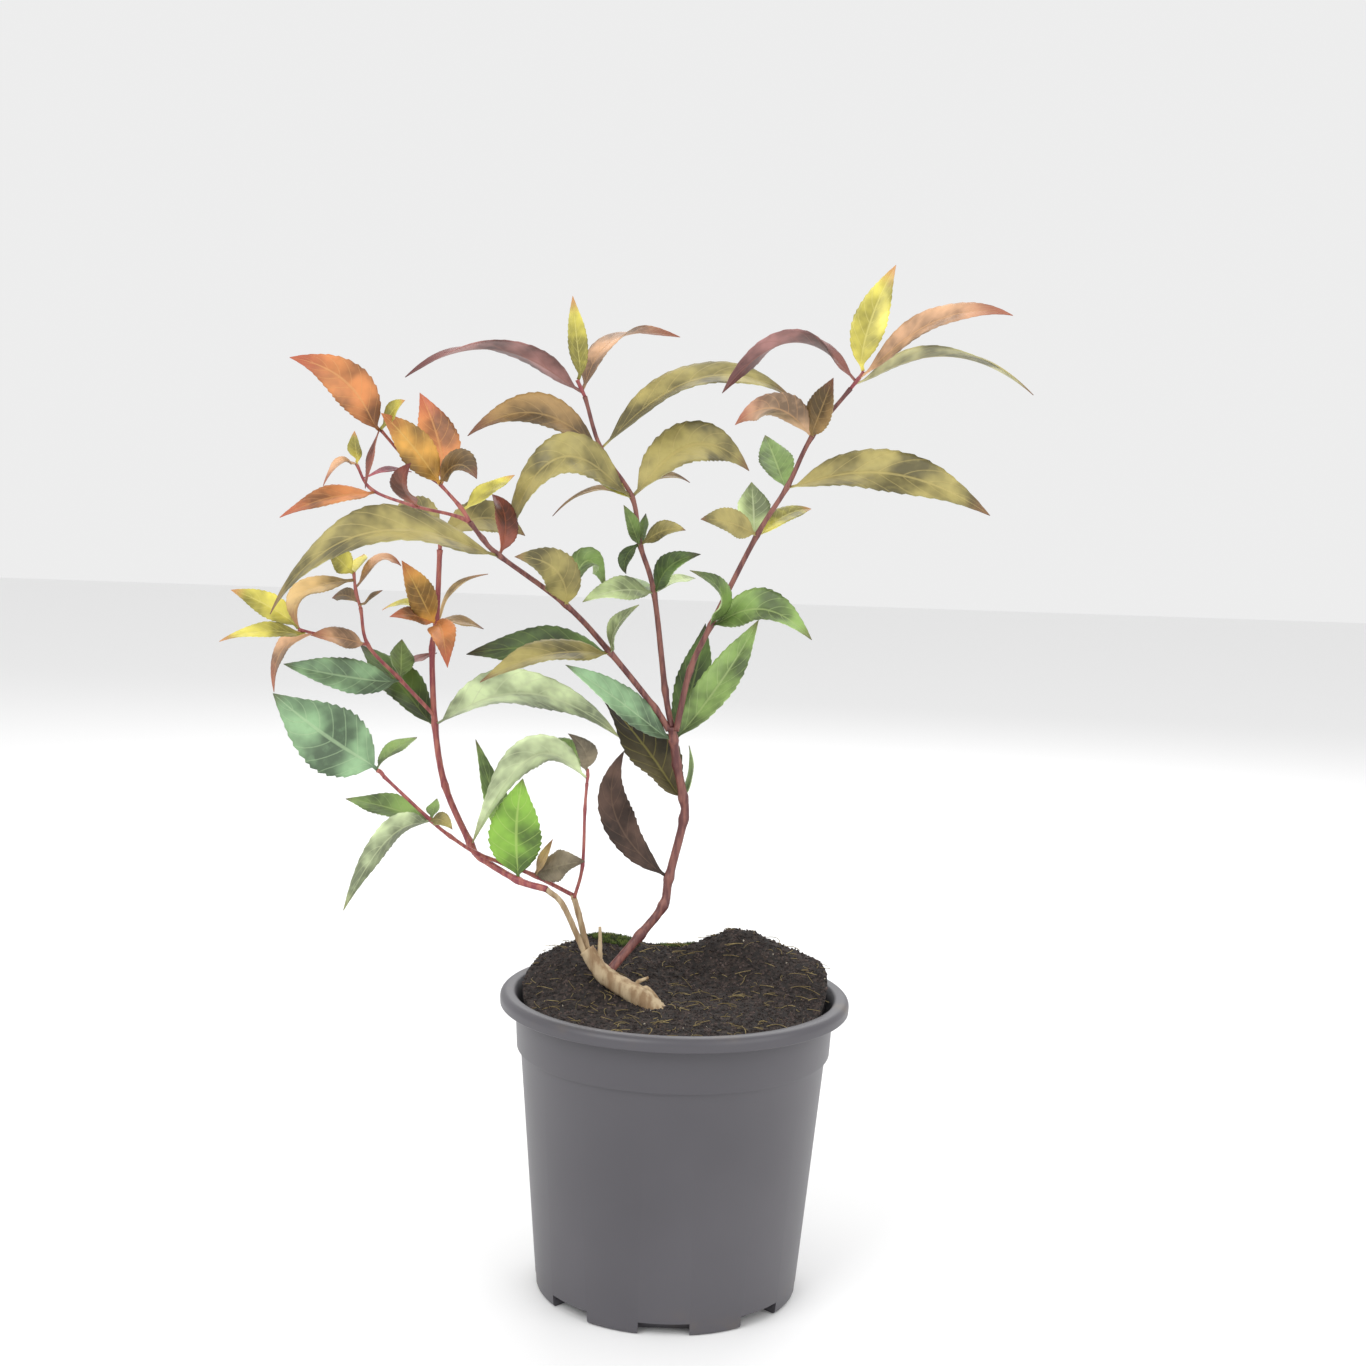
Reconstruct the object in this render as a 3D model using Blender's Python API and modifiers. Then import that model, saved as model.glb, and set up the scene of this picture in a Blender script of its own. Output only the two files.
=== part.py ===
"""Potted southern bush honeysuckle: a nursery pot, its peat, the shrub's limbs and its masses of leaves.

Sizes are millimetres in the tables and metres in the meshes. The frame has +Z up and +X to the right,
and +Y points away from whoever looks at the plant's best side. The origin is the middle of the pot's
flat underside.

Limbs are smooth tapering tubes through a few waypoints. Leaves stand on a limb in opposite pairs, so
each mass is a collar round a limb's node, or a shoot that grows on from a limb's tip, with its leaves
fused on. A leaf is told by where its tip lies from its node, how far its middle arches, how wide its
blade is, and how far the blade opens to the front.
"""

import math
from dataclasses import dataclass

import bmesh
import bpy
from mathutils import Vector
from mathutils.bvhtree import BVHTree

MM = 0.001
CLEARANCE = 0.3

# Pot, of the 17 cm, two litre size
POT_RIM_RADIUS = 85.0
POT_RIM_TOP = 147.0
POT_LIP_HEIGHT = 6.5
POT_COLLAR_RADIUS = 77.5
POT_STEP_HEIGHT = 118.6
POT_STEP_OUTER = 76.3
POT_WALL_TOP_RADIUS = 74.3
POT_FOOT_RADIUS = 63.85
POT_WALL = 1.7
POT_FLOOR = 3.0
POT_SEGMENTS = 40
NOTCH_COUNT = 8
NOTCH_WIDTH = 24.0
NOTCH_HEIGHT = 6.0
NOTCH_DEPTH = 9.0

# Peat: a filled body whose top is heaped to the back and the right
SOIL_EDGE_HEIGHT = 142.5
SOIL_RINGS = 6
SOIL_SEGMENTS = 32
SOCKET_SPARE = 0.03
SOIL_HEAPS = (
    # x, y, added height, spread
    (30.0, 42.0, 20.0, 17.0),
    (60.0, 32.0, 12.0, 20.0),
    (68.0, 4.0, 12.0, 17.0),
    (-34.0, 44.0, 15.0, 20.0),
    (-56.0, 20.0, 13.0, 20.0),
    (2.0, 60.0, 7.0, 22.0),
    (-36.0, 2.0, 4.0, 16.0),
    (20.0, -30.0, 2.5, 24.0),
)

# Limbs and leaves
LIMB_STATIONS = 3
COLLAR_LENGTH = 3.6
COLLAR_WALL = 0.9
COLLAR_SIDES = 8
LEAF_LEAST_THICKNESS = 0.8
LEAF_THICKNESS_SHARE = 0.0105
LEAF_FOLD = math.radians(14.0)
PETIOLE_WIDTH = 1.8
TIP_WIDTH = 0.8
LEAF_STATIONS = (0.0, 0.06, 0.2, 0.42, 0.64, 0.84, 1.0)
SMALL_LEAF_STATIONS = (0.0, 0.12, 0.42, 0.74, 1.0)
SMALL_LEAF_LENGTH = 32.0
FRONT = Vector((0.0, -1.0, 0.0))
UP = Vector((0.0, 0.0, 1.0))

PLANT = "southern_bush_honeysuckle"


@dataclass(frozen=True)
class Finish:
    """A material's base colour and how rough it is."""

    name: str
    colour: tuple
    roughness: float


PLASTIC = Finish("dark_grey_plastic", (0.045, 0.045, 0.05), 0.5)
PEAT = Finish("dark_peat", (0.022, 0.015, 0.011), 0.95)
OLD_BARK = Finish("tan_old_bark", (0.33, 0.24, 0.15), 0.8)
DARK_BARK = Finish("dark_red_bark", (0.09, 0.025, 0.025), 0.55)
RED_BARK = Finish("crimson_young_bark", (0.2, 0.03, 0.04), 0.5)
GREEN = Finish("green_leaf", (0.12, 0.22, 0.05), 0.5)
PALE = Finish("pale_green_underside", (0.3, 0.4, 0.18), 0.6)
OLIVE = Finish("olive_bronze_leaf", (0.2, 0.19, 0.07), 0.5)
COPPER = Finish("copper_leaf", (0.3, 0.11, 0.05), 0.5)
LIME = Finish("lime_young_leaf", (0.45, 0.5, 0.08), 0.5)
DEAD = Finish("dead_brown_leaf", (0.06, 0.04, 0.03), 0.9)


@dataclass(frozen=True)
class Limb:
    """A tapering limb: its waypoints, which are also its nodes, and its radius at foot and tip.

    seats are the limbs that its foot is cut to fit, because it springs from them or beside them.
    """

    name: str
    points: tuple
    radii: tuple
    finish: Finish
    seats: tuple = ()


@dataclass(frozen=True)
class Leaf:
    """A leaf: its tip from its node, its middle's rise and sideways bow, and its blade's width and turn.

    roll is how far the blade opens to the front: 0 shows its edge, 90 its whole upper side and -90
    its whole underside. twist is what is added to roll from root to tip. at is where it stands along
    its shoot, as a share of the shoot's length.
    """

    tip: tuple
    width: float
    roll: float = 45.0
    lift: float = 0.0
    bow: tuple = (0.0, 0.0)
    twist: float = 0.0
    at: float = 1.0


@dataclass(frozen=True)
class Shoot:
    """A leafy twig inside a mass: its waypoints from the mass's node, its radii and its leaves."""

    points: tuple
    radii: tuple
    leaves: tuple


@dataclass(frozen=True)
class Mass:
    """A mass of leaves on a limb's waypoint, or grown on from the limb's tip."""

    name: str
    limb: str
    node: int
    finish: Finish
    leaves: tuple = ()
    shoots: tuple = ()


LIMBS = (
    Limb("woody_crown", ((-6, -20, 138), (-16.5, -15, 146.5), (-34, -7, 155), (-43.5, -4, 166.5)), (5.8, 3.6), OLD_BARK),
    Limb("right_stem", ((-33, -5, 155.5), (-18, 2, 173), (-7, 6, 187.5), (-4.7, 8, 201), (1.6, 10, 230),
                        (1.0, 9, 240.5), (-2.6, 8, 257), (-4.7, 5.5, 269.5), (-5.6, 4, 276)), (2.3, 2.1), DARK_BARK,
         ("woody_crown",)),
    Limb("left_bough", ((-7.2, 3.6, 274.4), (-14.1, 1, 285), (-36.3, -6, 312), (-57.4, -14, 334.3), (-88.5, -24, 357),
                        (-96, -26, 364.5), (-102, -27, 372)), (1.6, 1.1), DARK_BARK, ("right_stem", "middle_bough")),
    Limb("middle_bough", ((-5.8, 4.5, 275.6), (-9.6, 9, 293.3), (-16.6, 16, 340), (-24.2, 20, 363), (-29, 24, 386),
                          (-45, 28, 409), (-53.7, 30, 434)), (1.6, 1.0), DARK_BARK, ("right_stem",)),
    Limb("right_bough", ((-3.6, 3.1, 274.2), (2.2, 0, 304), (11.5, -4, 326.5), (31.7, -8, 370), (44.9, -10, 393),
                         (55.7, -10, 417), (73, -8, 440)), (1.6, 1.0), DARK_BARK,
         ("right_stem", "middle_bough", "left_bough")),
    Limb("old_stem_front", ((-44.2, -5.4, 165), (-55.3, -8, 189), (-63.5, -10, 197)), (1.5, 1.3), OLD_BARK,
         ("woody_crown",)),
    Limb("old_stem_back", ((-42.8, -2.9, 165), (-48.3, -1, 184.5), (-51, -1, 192.8)), (1.6, 1.4), OLD_BARK,
         ("woody_crown", "old_stem_front")),
    Limb("left_stem", ((-63.2, -10, 197), (-77.5, -7, 200.3), (-96.5, 2, 209), (-102.4, 6, 215.5), (-116.2, 14, 242),
                       (-122.5, 20, 271), (-125.2, 24, 307.6), (-123.6, 26, 321), (-122.9, 28, 357)), (1.7, 1.2), RED_BARK,
         ("old_stem_front",)),
    Limb("low_branch", ((-50.6, -1, 192.4), (-70, 4, 200.4), (-85, 0, 206.8), (-98, -7, 213), (-109.5, -16, 222.4),
                        (-118, -24, 231.3), (-139, -32, 252.5)), (1.1, 0.8), RED_BARK, ("old_stem_back",)),
    Limb("upright_twig", ((-50.2, -2.2, 191.6), (-46.6, -4, 208), (-46, -8, 236), (-45.3, -10, 249)), (0.9, 0.7), RED_BARK,
         ("old_stem_back", "low_branch")),
    Limb("side_bough", ((-123, 20.4, 275.6), (-139, 11, 294), (-153.2, 2, 311), (-156, -4, 329)), (1.0, 0.8), RED_BARK,
         ("left_stem",)),
)

# Broken stub and rootlets of the woody crown: waypoints and radii
CROWN_SPURS = (
    (((-37, -4.5, 160), (-37, -4, 170), (-37.3, -4, 178)), (1.5, 0.7)),
    (((-16, -14, 146), (-18.5, -12, 152.5), (-13, -9, 155)), (1.4, 0.7)),
    (((-16.5, -14, 146), (-14, -13, 151), (-8, -16, 146), (-7, -19, 141)), (1.2, 0.8)),
)

MASSES = (
    Mass("hanging_dead_leaf", "right_stem", 3, DEAD,
         leaves=(Leaf((-23, -22, 65), 18, roll=50, bow=(-15, 0), twist=40),)),
    Mass("withered_leaves", "right_stem", 5, DEAD,
         leaves=(Leaf((-43, 14, 49), 26, roll=50, lift=-3, bow=(4, 0)),
                 Leaf((2, 14, 24), 11, roll=15, bow=(3, 0)))),
    Mass("fork_leaves", "right_stem", 7, GREEN,
         leaves=(Leaf((-51, -36, 38), 19, roll=42, lift=1),
                 Leaf((14, 44, 54), 18, roll=78, bow=(2, 6)),
                 Leaf((40, 24, 58), 20, roll=62, bow=(3, 5)))),
    Mass("left_bough_low_leaves", "left_bough", 2, GREEN,
         leaves=(Leaf((-72, 30, -6), 24, roll=35, lift=3, twist=15),
                 Leaf((-58, -34, -13), 20, roll=32, lift=6),
                 Leaf((14, -32, 25), 13, roll=28, bow=(-4, 0)))),
    Mass("left_bough_middle_leaves", "left_bough", 3, OLIVE,
         leaves=(Leaf((-22, -30, 23), 20, roll=75, lift=6, bow=(6, 0)),
                 Leaf((17, 34, 6), 15, roll=52, lift=17))),
    Mass("left_bough_high_leaves", "left_bough", 4, OLIVE,
         leaves=(Leaf((-97, -42, -28), 29, roll=34, lift=24, bow=(-4, -30)),
                 Leaf((-6, 20, 28), 15, roll=40, lift=3, bow=(4, 0)))),
    Mass("copper_spray", "left_bough", 6, COPPER,
         shoots=(Shoot(((0, 0, 0), (-5, 2, 7), (-15, 6, 17)), (1.0, 0.8),
                       (Leaf((-24, -24, 31), 18, roll=65, lift=2),
                        Leaf((-14, 26, 43), 20, roll=70, bow=(3, 0)),
                        Leaf((20, -26, 3), 17, roll=52, lift=7),
                        Leaf((22, 18, 17), 11, roll=45, lift=1, at=0.4))),
                 Shoot(((-15, 6, 17), (-28, 0, 26), (-41, -8, 41)), (0.8, 0.7),
                       (Leaf((-38, -18, 30), 20, roll=75, lift=6, bow=(5, 0)),
                        Leaf((-3, -20, -27), 9, roll=28),
                        Leaf((13, -13, 13), 8, roll=60, lift=2))))),
    Mass("outer_copper_spray", "left_bough", 5, COPPER,
         shoots=(Shoot(((0, 0, 0), (-10, 4, 9), (-34, 12, 14), (-55, 18, 21), (-63, 21, 33)), (0.9, 0.7),
                       (Leaf((2, -38, 20), 13, roll=60, bow=(-4, -6), at=0.48),
                        Leaf((-39, -28, -13), 14, roll=42, lift=3, at=0.72),
                        Leaf((20, 20, 4), 8, roll=18, lift=2, at=0.86),
                        Leaf((-12, -18, -11), 8, roll=32, lift=5),
                        Leaf((0, -6, 15), 9, roll=55))),)),
    Mass("middle_bough_low_leaves", "middle_bough", 2, GREEN,
         leaves=(Leaf((-33, -30, -4), 16, roll=42, lift=3),
                 Leaf((-22, 34, 4), 11, roll=14, lift=2),
                 Leaf((22, -20, 20), 14, roll=50, lift=3, bow=(-4, 0)),
                 Leaf((20, 34, 6), 12, roll=22, lift=2))),
    Mass("middle_bough_small_leaves", "middle_bough", 3, GREEN,
         leaves=(Leaf((-8, -14, 19), 9, roll=52),
                 Leaf((2, 16, 15), 8, roll=45),
                 Leaf((22, -16, 8), 11, roll=50, lift=3),
                 Leaf((-6, -12, -14), 8, roll=60, bow=(-3, 0)))),
    Mass("middle_bough_high_leaves", "middle_bough", 4, OLIVE,
         leaves=(Leaf((-59, -18, -24), 25, roll=50, lift=29, bow=(-4, -28)),
                 Leaf((58, 40, 15), 28, roll=55, lift=19),
                 Leaf((-40, 20, -11), 9, roll=16, lift=8),
                 Leaf((-27, -14, 14), 9, roll=55, lift=2),
                 Leaf((28, 22, 8), 10, roll=22, lift=6))),
    Mass("middle_bough_top_leaves", "middle_bough", 5, OLIVE,
         leaves=(Leaf((-61, -38, 3), 24, roll=42, lift=14),
                 Leaf((95, 38, 29), 26, roll=34, lift=22))),
    Mass("middle_top_spray", "middle_bough", 6, COPPER,
         shoots=(Shoot(((0, 0, 0), (-2, 0, 4), (-4, 0, 8)), (0.9, 0.8),
                       (Leaf((-84, -20, 3), 24, roll=-52, lift=17, twist=88, at=0.3),
                        Leaf((47, 36, 30), 20, roll=65, lift=11, bow=(-9, 0), twist=-100, at=0.4),
                        Leaf((-3, -4, 40), 11, roll=65))),)),
    Mass("right_bough_low_leaves", "right_bough", 2, GREEN,
         leaves=(Leaf((-11, -34, 27), 14, roll=32, lift=2, bow=(10, 0)),
                 Leaf((46, -34, -3), 22, roll=46, lift=11))),
    Mass("right_bough_middle_leaves", "right_bough", 3, GREEN,
         leaves=(Leaf((-3, 18, 25), 17, roll=82),
                 Leaf((-27, -26, 7), 15, roll=60, lift=2),
                 Leaf((27, 30, 13), 12, roll=45, lift=3))),
    Mass("right_bough_high_leaves", "right_bough", 4, OLIVE,
         leaves=(Leaf((93, -20, -10), 27, roll=32, lift=13, twist=40),
                 Leaf((-10, 34, 25), 17, roll=78))),
    Mass("right_bough_top_leaves", "right_bough", 5, OLIVE,
         leaves=(Leaf((-37, -36, 3), 19, roll=-45, lift=10),
                 Leaf((7, -26, 26), 15, roll=60))),
    Mass("right_top_spray", "right_bough", 6, COPPER,
         shoots=(Shoot(((0, 0, 0), (3, 0, 4), (6, 0, 8)), (0.9, 0.8),
                       (Leaf((-63, -32, -9), 23, roll=46, lift=20, twist=-108, at=0.4),
                        Leaf((89, 28, -1), 23, roll=-28, lift=16, twist=50, at=0.3),
                        Leaf((13, 2, 50), 17, roll=78, bow=(-3, 0)),
                        Leaf((64, -38, 27), 17, roll=30, lift=12, twist=18, at=0.7))),)),
    Mass("left_stem_foot_leaves", "left_stem", 1, GREEN,
         leaves=(Leaf((2, -9, 51), 27, roll=85, bow=(-2, 0)),
                 Leaf((-24, 20, 65), 16, roll=45))),
    Mass("left_stem_pale_leaves", "left_stem", 5, PALE,
         leaves=(Leaf((92, -38, 2), 31, roll=-36, lift=18, twist=-14),
                 Leaf((-42, 26, 36), 22, roll=48, lift=2))),
    Mass("left_stem_copper_spray", "left_stem", 7, COPPER,
         leaves=(Leaf((-14, -24, 31), 16, roll=60),
                 Leaf((10, -32, -19), 14, roll=65, lift=5),
                 Leaf((-19, -26, 4), 10, roll=45, lift=2),
                 Leaf((23, 18, 24), 9, roll=20, lift=4, bow=(-5, 0)),
                 Leaf((-30, 20, 4), 9, roll=20, lift=6),
                 Leaf((21, 22, -4), 9, roll=25, lift=2))),
    Mass("left_stem_top_leaves", "left_stem", 8, OLIVE,
         shoots=(Shoot(((0, 0, 0), (0, 1, 4), (0, 2, 7)), (1.0, 0.9),
                       (Leaf((-34, 46, 2), 20, roll=60, lift=9),
                        Leaf((38, 42, 0), 20, roll=60, lift=9))),)),
    Mass("side_bough_low_leaves", "side_bough", 1, GREEN,
         leaves=(Leaf((-49, -36, 9), 19, roll=55, lift=-1, bow=(0, -4)),
                 Leaf((-2, 18, 18), 13, roll=60),
                 Leaf((13, 38, 10), 10, roll=30, bow=(-5, 8)))),
    Mass("far_left_spray", "side_bough", 2, LIME,
         shoots=(Shoot(((0, 0, 0), (-12, -10, 3), (-29, -22, 8)), (0.8, 0.7),
                       (Leaf((-20, -22, 5), 12, roll=45, lift=1, at=0.12),
                        Leaf((-30, -8, 18), 13, roll=60, lift=2),
                        Leaf((-34, -26, -4), 10, roll=38, lift=3, at=0.92),
                        Leaf((-22, 20, -31), 12, roll=42, lift=6, bow=(-5, 0), at=0.84))),)),
    Mass("side_bough_top_spray", "side_bough", 3, LIME,
         shoots=(Shoot(((0, 0, 0), (-2, -2, 8), (-3, -3, 17)), (0.8, 0.7),
                       (Leaf((-19, -34, -21), 14, roll=50, lift=4, bow=(-11, 0), at=0.8),
                        Leaf((-10, -18, 9), 12, roll=65, lift=2),
                        Leaf((1, 22, 8), 10, roll=60),
                        Leaf((18, 24, 10), 9, roll=35, lift=8, at=0.6),
                        Leaf((-16, 18, 0), 9, roll=45, lift=2, at=0.2),
                        Leaf((13, -14, 8), 6, roll=25, at=0.1))),)),
    Mass("low_branch_leaves", "low_branch", 5, GREEN,
         leaves=(Leaf((-43, 16, 6), 16, roll=36, lift=1),
                 Leaf((-35, -30, -38), 18, roll=-42, lift=12),
                 Leaf((2, 8, 9), 8, roll=55),
                 Leaf((12, -12, -2), 8, roll=50, lift=2))),
    Mass("low_branch_tip_leaf", "low_branch", 6, GREEN,
         shoots=(Shoot(((0, 0, 0), (-1.5, 0, 2), (-3, -1, 3)), (0.8, 0.8),
                       (Leaf((-46, -14, 36), 33, roll=75, lift=-2),
                        Leaf((14, 30, 12), 12, roll=30, lift=2))),)),
    Mass("upright_twig_leaves", "upright_twig", 3, PALE,
         shoots=(Shoot(((0, 0, 0), (0.3, 0, 4), (0, 0, 7)), (0.7, 0.7),
                       (Leaf((-53, -12, -31), 25, roll=-42, lift=25, at=0.3),
                        Leaf((-27, 28, 7), 14, roll=32, lift=4),
                        Leaf((-9, -10, 18), 11, roll=55, bow=(4, 0)))),)),
    Mass("dead_leaf_on_old_stem", "low_branch", 1, DEAD,
         leaves=(Leaf((25, -20, 12), 16, roll=55, lift=1),
                 Leaf((9, -14, 21), 6, roll=50))),
)


def clear_scene():
    """Remove everything the file holds at its start."""
    for obj in list(bpy.data.objects):
        bpy.data.objects.remove(obj, do_unlink=True)
    for mesh in list(bpy.data.meshes):
        bpy.data.meshes.remove(mesh)


def material_for(finish):
    """The material of a finish, made once."""
    found = bpy.data.materials.get(finish.name)
    if found:
        return found
    material = bpy.data.materials.new(finish.name)
    material.use_nodes = True
    shader = material.node_tree.nodes["Principled BSDF"]
    shader.inputs["Base Color"].default_value = (*finish.colour, 1.0)
    shader.inputs["Roughness"].default_value = finish.roughness
    shader.inputs["Metallic"].default_value = 0.0
    return material


def named_collection(name):
    """A collection under the scene, made once."""
    found = bpy.data.collections.get(name)
    if not found:
        found = bpy.data.collections.new(name)
        bpy.context.scene.collection.children.link(found)
    return found


def evaluated_mesh(obj):
    """The object's mesh as its modifiers leave it, with doubles merged."""
    graph = bpy.context.evaluated_depsgraph_get()
    mesh = bpy.data.meshes.new_from_object(obj.evaluated_get(graph))
    work = bmesh.new()
    work.from_mesh(mesh)
    bmesh.ops.remove_doubles(work, verts=work.verts, dist=0.002 * MM)
    work.to_mesh(mesh)
    work.free()
    return mesh


def is_closed(mesh):
    """Whether each edge of a mesh has two faces."""
    work = bmesh.new()
    work.from_mesh(mesh)
    closed = all(len(edge.link_faces) == 2 for edge in work.edges)
    work.free()
    return closed


def as_mesh(obj, name=None):
    """Replace an object by one with its evaluated mesh and the same place."""
    mesh = evaluated_mesh(obj)
    solid = bpy.data.objects.new(name or obj.name, mesh)
    solid.matrix_world = obj.matrix_world.copy()
    for collection in obj.users_collection:
        collection.objects.link(solid)
    bpy.data.objects.remove(obj, do_unlink=True)
    return solid


def finish_node(obj, name, finish):
    """Give a finished solid its node's name, its material and its place in the plant's collection."""
    obj.name = name
    obj.data.name = name
    obj.data.materials.clear()
    obj.data.materials.append(material_for(finish))
    for collection in list(obj.users_collection):
        collection.objects.unlink(obj)
    named_collection(PLANT).objects.link(obj)
    return obj


def bounding_tree(obj):
    """A search tree over an object's mesh, which sits at the origin."""
    work = bmesh.new()
    work.from_mesh(obj.data)
    tree = BVHTree.FromBMesh(work)
    work.free()
    return tree


# Curves and tubes


def smooth_path(points, stations):
    """Points on the Catmull-Rom curve through the waypoints, with `stations` steps between two."""
    knots = [Vector(p) for p in points]
    first = knots[0] * 2 - knots[1]
    last = knots[-1] * 2 - knots[-2]
    knots = [first, *knots, last]
    path = []
    for i in range(1, len(knots) - 2):
        a, b, c, d = knots[i - 1:i + 3]
        for step in range(stations):
            t = step / stations
            path.append(0.5 * (2 * b + (c - a) * t + (2 * a - 5 * b + 4 * c - d) * t ** 2
                               + (3 * b - a - 3 * c + d) * t ** 3))
    path.append(knots[-2])
    return path


def tube(name, path, radii, sides_level, collection):
    """A closed tapering tube along a path: a bevelled curve made a mesh."""
    curve = bpy.data.curves.new(name, "CURVE")
    curve.dimensions = "3D"
    curve.bevel_depth = MM
    curve.bevel_resolution = sides_level
    curve.use_fill_caps = True
    curve.render_resolution_u = 0
    spline = curve.splines.new("POLY")
    spline.points.add(len(path) - 1)
    for i, point in enumerate(path):
        share = i / (len(path) - 1)
        spline.points[i].co = (*(point * MM), 1.0)
        spline.points[i].radius = radii[0] + (radii[1] - radii[0]) * share
    obj = bpy.data.objects.new(name, curve)
    collection.objects.link(obj)
    bpy.context.view_layer.update()
    return as_mesh(obj)


def union(base, parts_name):
    """Join a collection's solids to the base in one Boolean and remove them."""
    parts = bpy.data.collections[parts_name]
    join = base.modifiers.new("join", "BOOLEAN")
    join.operation = "UNION"
    join.operand_type = "COLLECTION"
    join.collection = parts
    join.solver = "EXACT"
    bpy.context.view_layer.update()
    mesh = evaluated_mesh(base)
    if not is_closed(mesh):
        join.solver = "MANIFOLD"
        bpy.context.view_layer.update()
        mesh = evaluated_mesh(base)
    base.modifiers.remove(join)
    base.data = mesh
    for obj in list(parts.objects):
        bpy.data.objects.remove(obj, do_unlink=True)
    bpy.data.collections.remove(parts)
    return base


def cut_clear(obj, paths):
    """Cut a solid clear of tubes along the given paths, which have the given radii."""
    cutters = named_collection("sockets")
    for path, radii in paths:
        start = path[0] + (path[0] - path[1]).normalized() * CLEARANCE
        end = path[-1] + (path[-1] - path[-2]).normalized() * CLEARANCE
        fat = [radius + CLEARANCE + SOCKET_SPARE for radius in radii]
        cutter = tube("socket", [start, *path, end], fat, 1, cutters)
        cutter.hide_render = True
    cut = obj.modifiers.new("sockets", "BOOLEAN")
    cut.operation = "DIFFERENCE"
    cut.operand_type = "COLLECTION"
    cut.collection = cutters
    cut.solver = "EXACT"
    bpy.context.view_layer.update()
    solid = as_mesh(obj)
    for cutter in list(cutters.objects):
        bpy.data.objects.remove(cutter, do_unlink=True)
    bpy.data.collections.remove(cutters)
    return solid


# Pot and peat


def turned(name, profile, segments):
    """A solid turned about Z from a profile of (radius, height), outer side first, top to bottom."""
    mesh = bpy.data.meshes.new(name)
    verts = [(r * MM, 0.0, z * MM) for r, z in profile]
    edges = [(i, i + 1) for i in range(len(profile) - 1)]
    if profile[0] != profile[-1] and profile[0][0] > 0 and profile[-1][0] > 0:
        edges.append((len(profile) - 1, 0))
    mesh.from_pydata(verts, edges, [])
    obj = bpy.data.objects.new(name, mesh)
    named_collection(PLANT).objects.link(obj)
    screw = obj.modifiers.new("turn", "SCREW")
    screw.axis = "Z"
    screw.steps = segments
    screw.render_steps = segments
    screw.use_merge_vertices = True
    screw.merge_threshold = 0.00001
    screw.use_smooth_shade = True
    bpy.context.view_layer.update()
    return as_mesh(obj)


def make_pot():
    """The pot: a stepped collar, a hollow rolled rim and drain notches round a flat foot."""
    lip = POT_RIM_TOP - POT_LIP_HEIGHT
    wall = POT_WALL
    profile = (
        (POT_RIM_RADIUS - 5.8, POT_RIM_TOP),
        (POT_RIM_RADIUS - 2.0, POT_RIM_TOP),
        (POT_RIM_RADIUS - 0.6, POT_RIM_TOP - 1.0),
        (POT_RIM_RADIUS, POT_RIM_TOP - 3.1),
        (POT_RIM_RADIUS - 0.3, lip),
        (POT_RIM_RADIUS - 1.7, lip),
        (POT_RIM_RADIUS - 2.0, POT_RIM_TOP - 2.2),
        (POT_COLLAR_RADIUS + 0.6, POT_RIM_TOP - 2.4),
        (POT_COLLAR_RADIUS, lip),
        (POT_STEP_OUTER, POT_STEP_HEIGHT + 0.8),
        (POT_WALL_TOP_RADIUS, POT_STEP_HEIGHT - 0.8),
        (POT_FOOT_RADIUS + 0.2, 1.2),
        (POT_FOOT_RADIUS - 1.0, 0.0),
        (0.0, 0.0),
        (0.0, POT_FLOOR),
        (POT_FOOT_RADIUS - wall, POT_FLOOR),
        (POT_WALL_TOP_RADIUS - wall, POT_STEP_HEIGHT - 0.4),
        (POT_STEP_OUTER - wall, POT_STEP_HEIGHT + 2.0),
        (POT_COLLAR_RADIUS - wall, lip),
        (POT_COLLAR_RADIUS + 0.2, POT_RIM_TOP - 0.8),
        (POT_RIM_RADIUS - 5.8, POT_RIM_TOP),
    )
    pot = turned("pot", profile, POT_SEGMENTS)
    cutters = named_collection("pot_cutters")
    for i in range(NOTCH_COUNT):
        angle = math.radians(-90 + 360 * i / NOTCH_COUNT)
        work = bmesh.new()
        bmesh.ops.create_cube(work, size=1.0)
        length = NOTCH_DEPTH * 2
        middle = POT_FOOT_RADIUS - NOTCH_DEPTH + length / 2
        for v in work.verts:
            v.co = Vector((v.co.x * length + middle, v.co.y * NOTCH_WIDTH, v.co.z * NOTCH_HEIGHT * 2)) * MM
        mesh = bpy.data.meshes.new("notch")
        work.to_mesh(mesh)
        work.free()
        cutter = bpy.data.objects.new("notch", mesh)
        cutter.rotation_euler = (0.0, 0.0, angle)
        cutter.hide_render = True
        cutter.display_type = "WIRE"
        cutters.objects.link(cutter)
    cut = pot.modifiers.new("notches", "BOOLEAN")
    cut.operation = "DIFFERENCE"
    cut.operand_type = "COLLECTION"
    cut.collection = cutters
    cut.solver = "EXACT"
    bpy.context.view_layer.update()
    pot = as_mesh(pot)
    for cutter in list(cutters.objects):
        bpy.data.objects.remove(cutter, do_unlink=True)
    bpy.data.collections.remove(cutters)
    return finish_node(pot, "pot", PLASTIC)


def soil_height(x, y):
    """The peat's surface height, which falls back to its edge height at the wall."""
    height = SOIL_EDGE_HEIGHT
    for hx, hy, rise, spread in SOIL_HEAPS:
        height += rise * math.exp(-((x - hx) ** 2 + (y - hy) ** 2) / (2 * spread ** 2))
    return height


def inner_radius(height):
    """The pot's inside radius at a height."""
    share = (height - POT_FLOOR) / (POT_STEP_HEIGHT - POT_FLOOR)
    low = POT_FOOT_RADIUS - POT_WALL
    high = POT_WALL_TOP_RADIUS - POT_WALL
    return low + (high - low) * min(max(share, 0.0), 1.0)


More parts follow.
